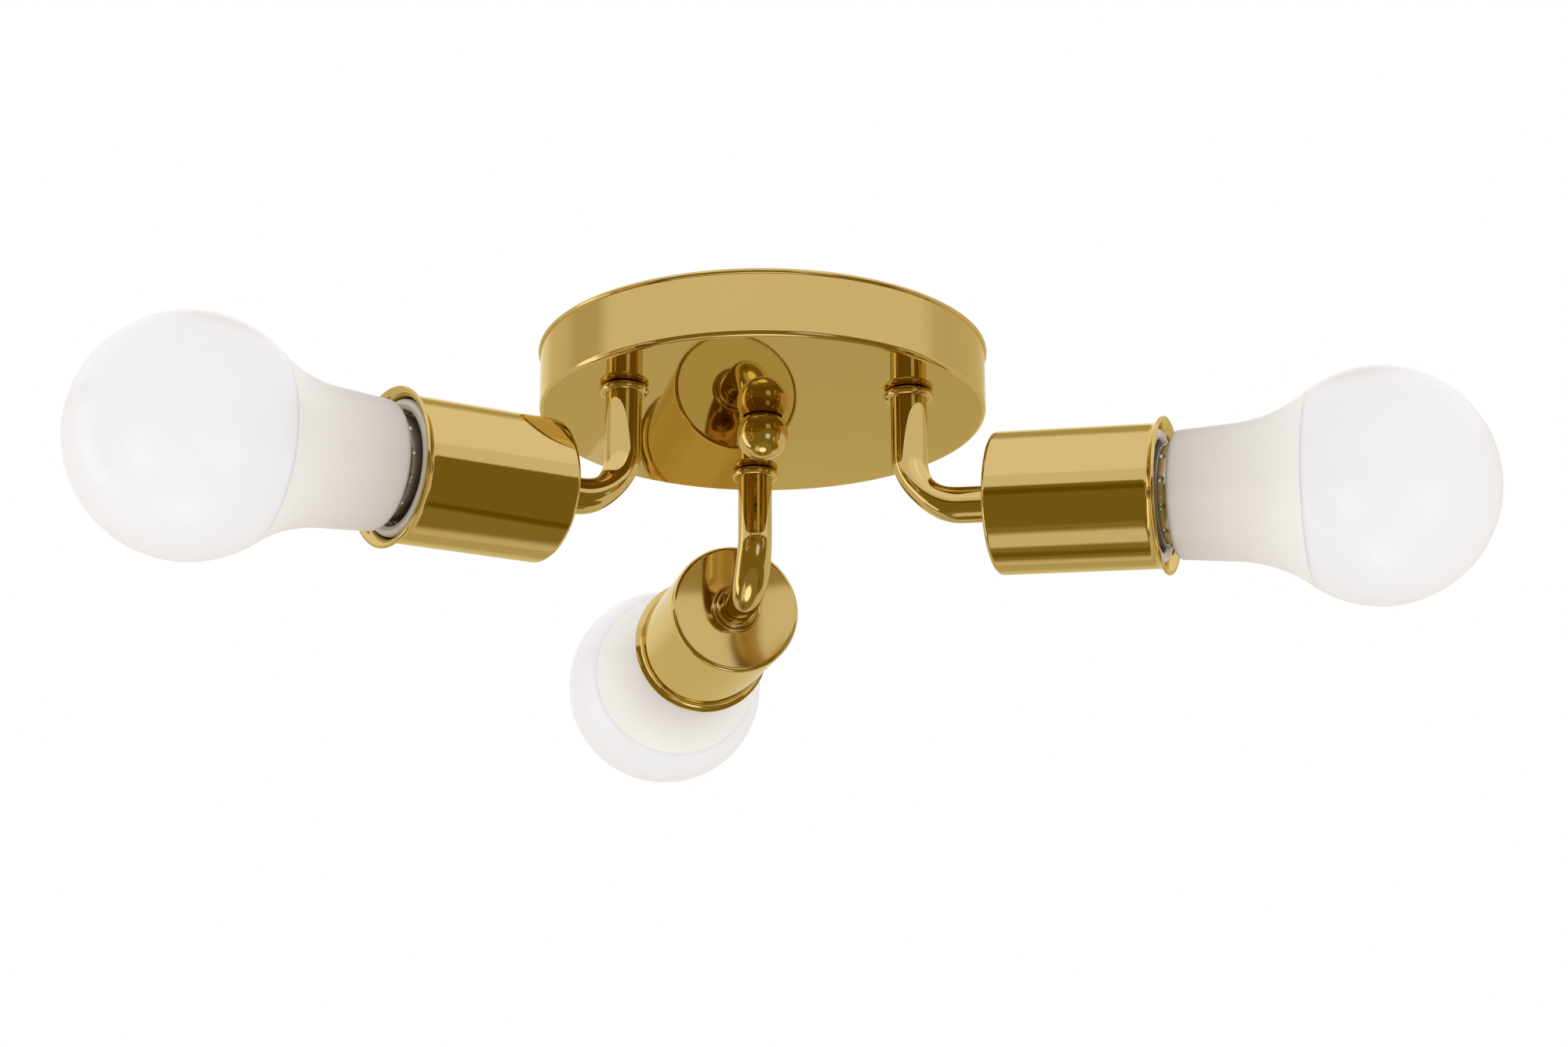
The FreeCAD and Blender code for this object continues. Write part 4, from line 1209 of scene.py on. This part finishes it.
@dataclass
class Studio:
    """Even soft light, pale floor, and the panels and flags that give polished brass its bands."""

    floor_z: float = -2.4
    floor_half: float = 12.0
    floor_light: Colour = (0.90, 0.90, 0.90)
    floor_shade: Colour = (0.88, 0.88, 0.88)
    floor_clouds: float = 0.8
    floor_roughness: float = 0.9
    fill: float = 1.02
    walls: int = 213
    zones: tuple[Zone, ...] = (
        Zone(0.0, 104.0, -50.0, 27.0, tone(186), 5.0, 12.0),            # the far wall
        Zone(-17.0, 16.0, 6.0, 27.0, tone(202), 5.0, 8.0),              # a lighter stretch of it
        Zone(52.0, 34.0, 12.0, 30.0, tone(180), 6.0, 12.0),             # its right-hand part
        Zone(-74.0, 14.0, 19.0, 32.0, tone(170), 3.0, 8.0),             # shade high on the left
        Zone(6.0, 20.0, 44.0, 72.0, tone(160), 8.0, 12.0),              # shade over the far wall
        Zone(-4.0, 34.0, -40.0, -18.5, tone(170), 3.0, 14.0),           # what the canopy's face mirrors
        Zone(0.0, 200.0, -78.0, -50.0, tone(126), 5.0),                 # a dark ring below
        Zone(-92.0, 36.0, -80.0, -63.0, tone(195), 4.0, 10.0),          # the ring's light part on the left
        Zone(180.0, 84.0, -36.0, 9.5, tone(113), 2.0, 4.0),             # the dark side, behind the camera
        Zone(180.0, 118.0, -54.0, -30.0, tone(113), 2.0, 6.0),          # the dark side's wider foot
        Zone(180.0, 90.0, 9.5, 27.0, tone(200), 2.0, 8.0),              # the light wall over the dark side
        Zone(-150.0, 26.0, -4.0, 4.0, tone(95), 2.0, 8.0),              # darkest line of the dark side
        Zone(88.0, 10.0, -55.0, -50.0, tone(95), 1.5, 6.0),             # dark line low on the right
        Zone(-20.0, 12.0, -68.0, -59.0, tone(102), 3.0, 6.0),           # dark spot in the ring
        Zone(0.0, 200.0, -91.0, -78.0, panel(1.8), 2.0),                # panel straight below
        Zone(-80.0, 7.0, -45.0, 19.0, panel(1.7), 1.5, 2.0),            # tall strip on the left
        Zone(157.0, 10.0, -32.0, -13.0, (0.95, 1.05, 1.35), 5.0, 4.0),  # cool window behind the camera
        Zone(152.0, 11.0, 30.0, 60.0, panel(1.3), 2.0, 2.0),            # panel high behind the camera
    )
    softboxes: tuple[Softbox, ...] = (
        Softbox("softbox_left", Vector((-0.89, -0.90, -0.75)), 0.55, 0.8, 1.45),
        Softbox("softbox_right", Vector((0.99, -0.95, -0.70)), 0.55, 0.8, 1.45),
        Softbox("softbox_below", Vector((-0.28, -0.42, -1.95)), 1.5, 0.8, 0.85, flagged=False),
    )

    def build(self, bulbs: bpy.types.Collection) -> None:
        """Builds the floor, the world and the softboxes.

        Args:
            bulbs: the bulbs' pieces, which have softboxes of their own.
        """
        self.floor()
        self.world()
        for softbox in self.softboxes:
            softbox.build(bulbs)

    def floor(self) -> None:
        """A plain pale floor, a room's height below the ceiling."""
        mesh = bmesh.new()
        at = Matrix.Translation((0.0, 0.0, self.floor_z))
        bmesh.ops.create_grid(mesh, x_segments=1, y_segments=1, size=self.floor_half, matrix=at)
        data = bpy.data.meshes.new("floor")
        mesh.to_mesh(data)
        mesh.free()
        paint = bpy.data.materials.new("floor_paint")
        paint.use_nodes = True
        graph = Graph(paint.node_tree)
        shader = paint.node_tree.nodes["Principled BSDF"]
        place = graph.add("ShaderNodeTexCoord").outputs["Object"]
        clouds = graph.noise(place, self.floor_clouds, 2.0)
        mask = graph.step(clouds, Effects.CLOUD_LOW, Effects.CLOUD_HIGH)
        graph.feed(shader.inputs["Base Color"], graph.blend(mask, self.floor_light, self.floor_shade))
        shader.inputs["Roughness"].default_value = self.floor_roughness
        data.materials.append(paint)
        floor = bpy.data.objects.new("floor", data)
        bpy.context.scene.collection.objects.link(floor)
        floor.visible_glossy = False

    def world(self) -> None:
        """White to the camera, even to matt surfaces, and a studio of zones to polished ones."""
        world = bpy.data.worlds.new("studio")
        bpy.context.scene.world = world
        world.use_nodes = True
        world.node_tree.nodes.clear()
        graph = Graph(world.node_tree)
        ray = graph.add("ShaderNodeLightPath").outputs
        mirrored = self.light(graph, self.zone_colour(graph))
        even = self.light(graph, (1.0, 1.0, 1.0), self.fill)
        polished = self.either(graph, ray["Is Glossy Ray"], even, mirrored)
        white = self.light(graph, (1.0, 1.0, 1.0))
        seen = self.either(graph, ray["Is Camera Ray"], polished, white)
        graph.feed(graph.add("ShaderNodeOutputWorld").inputs["Surface"], seen)

    @staticmethod
    def light(graph: Graph, colour: object, strength: float = 1.0) -> bpy.types.NodeSocket:
        """Returns light of a colour, from everywhere."""
        node = graph.add("ShaderNodeBackground")
        graph.feed(node.inputs["Color"], colour)
        graph.feed(node.inputs["Strength"], strength)
        return node.outputs[0]

    @staticmethod
    def either(graph: Graph, mask: object, first: object, second: object) -> bpy.types.NodeSocket:
        """Returns the first light where the mask is 0, and the second where it is 1."""
        node = graph.add("ShaderNodeMixShader")
        for socket, value in zip(node.inputs, (mask, first, second)):
            graph.feed(socket, value)
        return node.outputs[0]

    def zone_colour(self, graph: Graph) -> bpy.types.NodeSocket:
        """Mixes the zones over the studio's light walls.

        Args:
            graph: the world's graph.

        Returns:
            The colour by direction.
        """
        way = graph.add("ShaderNodeSeparateXYZ")
        graph.feed(way.inputs[0], graph.add("ShaderNodeTexCoord").outputs["Generated"])
        x, y, z = way.outputs
        up = graph.math("DEGREES", graph.math("ARCSINE", z))
        round_y = graph.math("DEGREES", graph.math("ARCTAN2", x, y))
        colour: object = tone(self.walls)
        for zone in self.zones:
            off = graph.math("SUBTRACT", round_y, zone.azimuth)
            off = graph.math("WRAP", off, 180.0, -180.0)
            across = graph.window(off, -zone.half_width, zone.half_width, zone.soft_sides)
            height = graph.window(up, zone.low, zone.high, zone.soft)
            colour = graph.blend(graph.math("MULTIPLY", across, height), colour, zone.colour)
        return colour


@dataclass(frozen=True)
class PhotoCamera:
    """The camera of the photograph, from in front and below."""

    place: Vector = Vector((-0.03878, -0.78725, -0.3126))
    yaw: float = math.radians(3.235)
    pitch: float = math.radians(18.56)
    roll: float = math.radians(-0.104)
    lens: float = 71.71
    sensor: float = 36.0

    def build(self) -> None:
        """Makes the camera and hands it to the scene."""
        data = bpy.data.cameras.new("photo_camera")
        data.lens = self.lens
        data.sensor_width = self.sensor
        data.clip_start = 0.01
        data.clip_end = 50.0
        camera = bpy.data.objects.new("photo_camera", data)
        level = math.cos(self.pitch)
        ahead = Vector((math.sin(self.yaw) * level, math.cos(self.yaw) * level, math.sin(self.pitch)))
        right = Vector((math.cos(self.yaw), -math.sin(self.yaw), 0.0))
        up = right.cross(ahead)
        turned = right * math.cos(self.roll) + up * math.sin(self.roll)
        up = turned.cross(ahead)
        frame = Matrix((turned, up, -ahead)).transposed().to_4x4()
        camera.matrix_world = Matrix.Translation(self.place) @ frame
        bpy.context.scene.collection.objects.link(camera)
        bpy.context.scene.camera = camera


# ---------------------------------------------------------------- the whole light


def clear_scene() -> None:
    """Removes whatever the empty scene holds."""
    for thing in list(bpy.data.objects):
        bpy.data.objects.remove(thing)


def main() -> None:
    """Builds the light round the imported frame, then the studio and the camera."""
    logging.basicConfig(level=logging.INFO, format="%(name)s: %(message)s")
    clear_scene()
    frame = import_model()
    bpy.context.scene.view_settings.view_transform = "Standard"
    shop = Workshop(frame)
    for row in frame["record"]["subparts"]:
        shop.wardrobe.dress_node(frame["nodes"][row["node"]], row["material_slot"])
    arms = [Arm.of(name, shop) for name in ArmName]
    Canopy().build(shop, [arm.root for arm in arms])
    for arm in arms:
        arm.build(shop)
        CupAssembly(arm).build(shop)
        Bulb(arm).build(shop)
    Studio().build(shop.bulbs)
    PhotoCamera().build()
    bpy.context.view_layer.update()


if __name__ == "__main__":
    main()
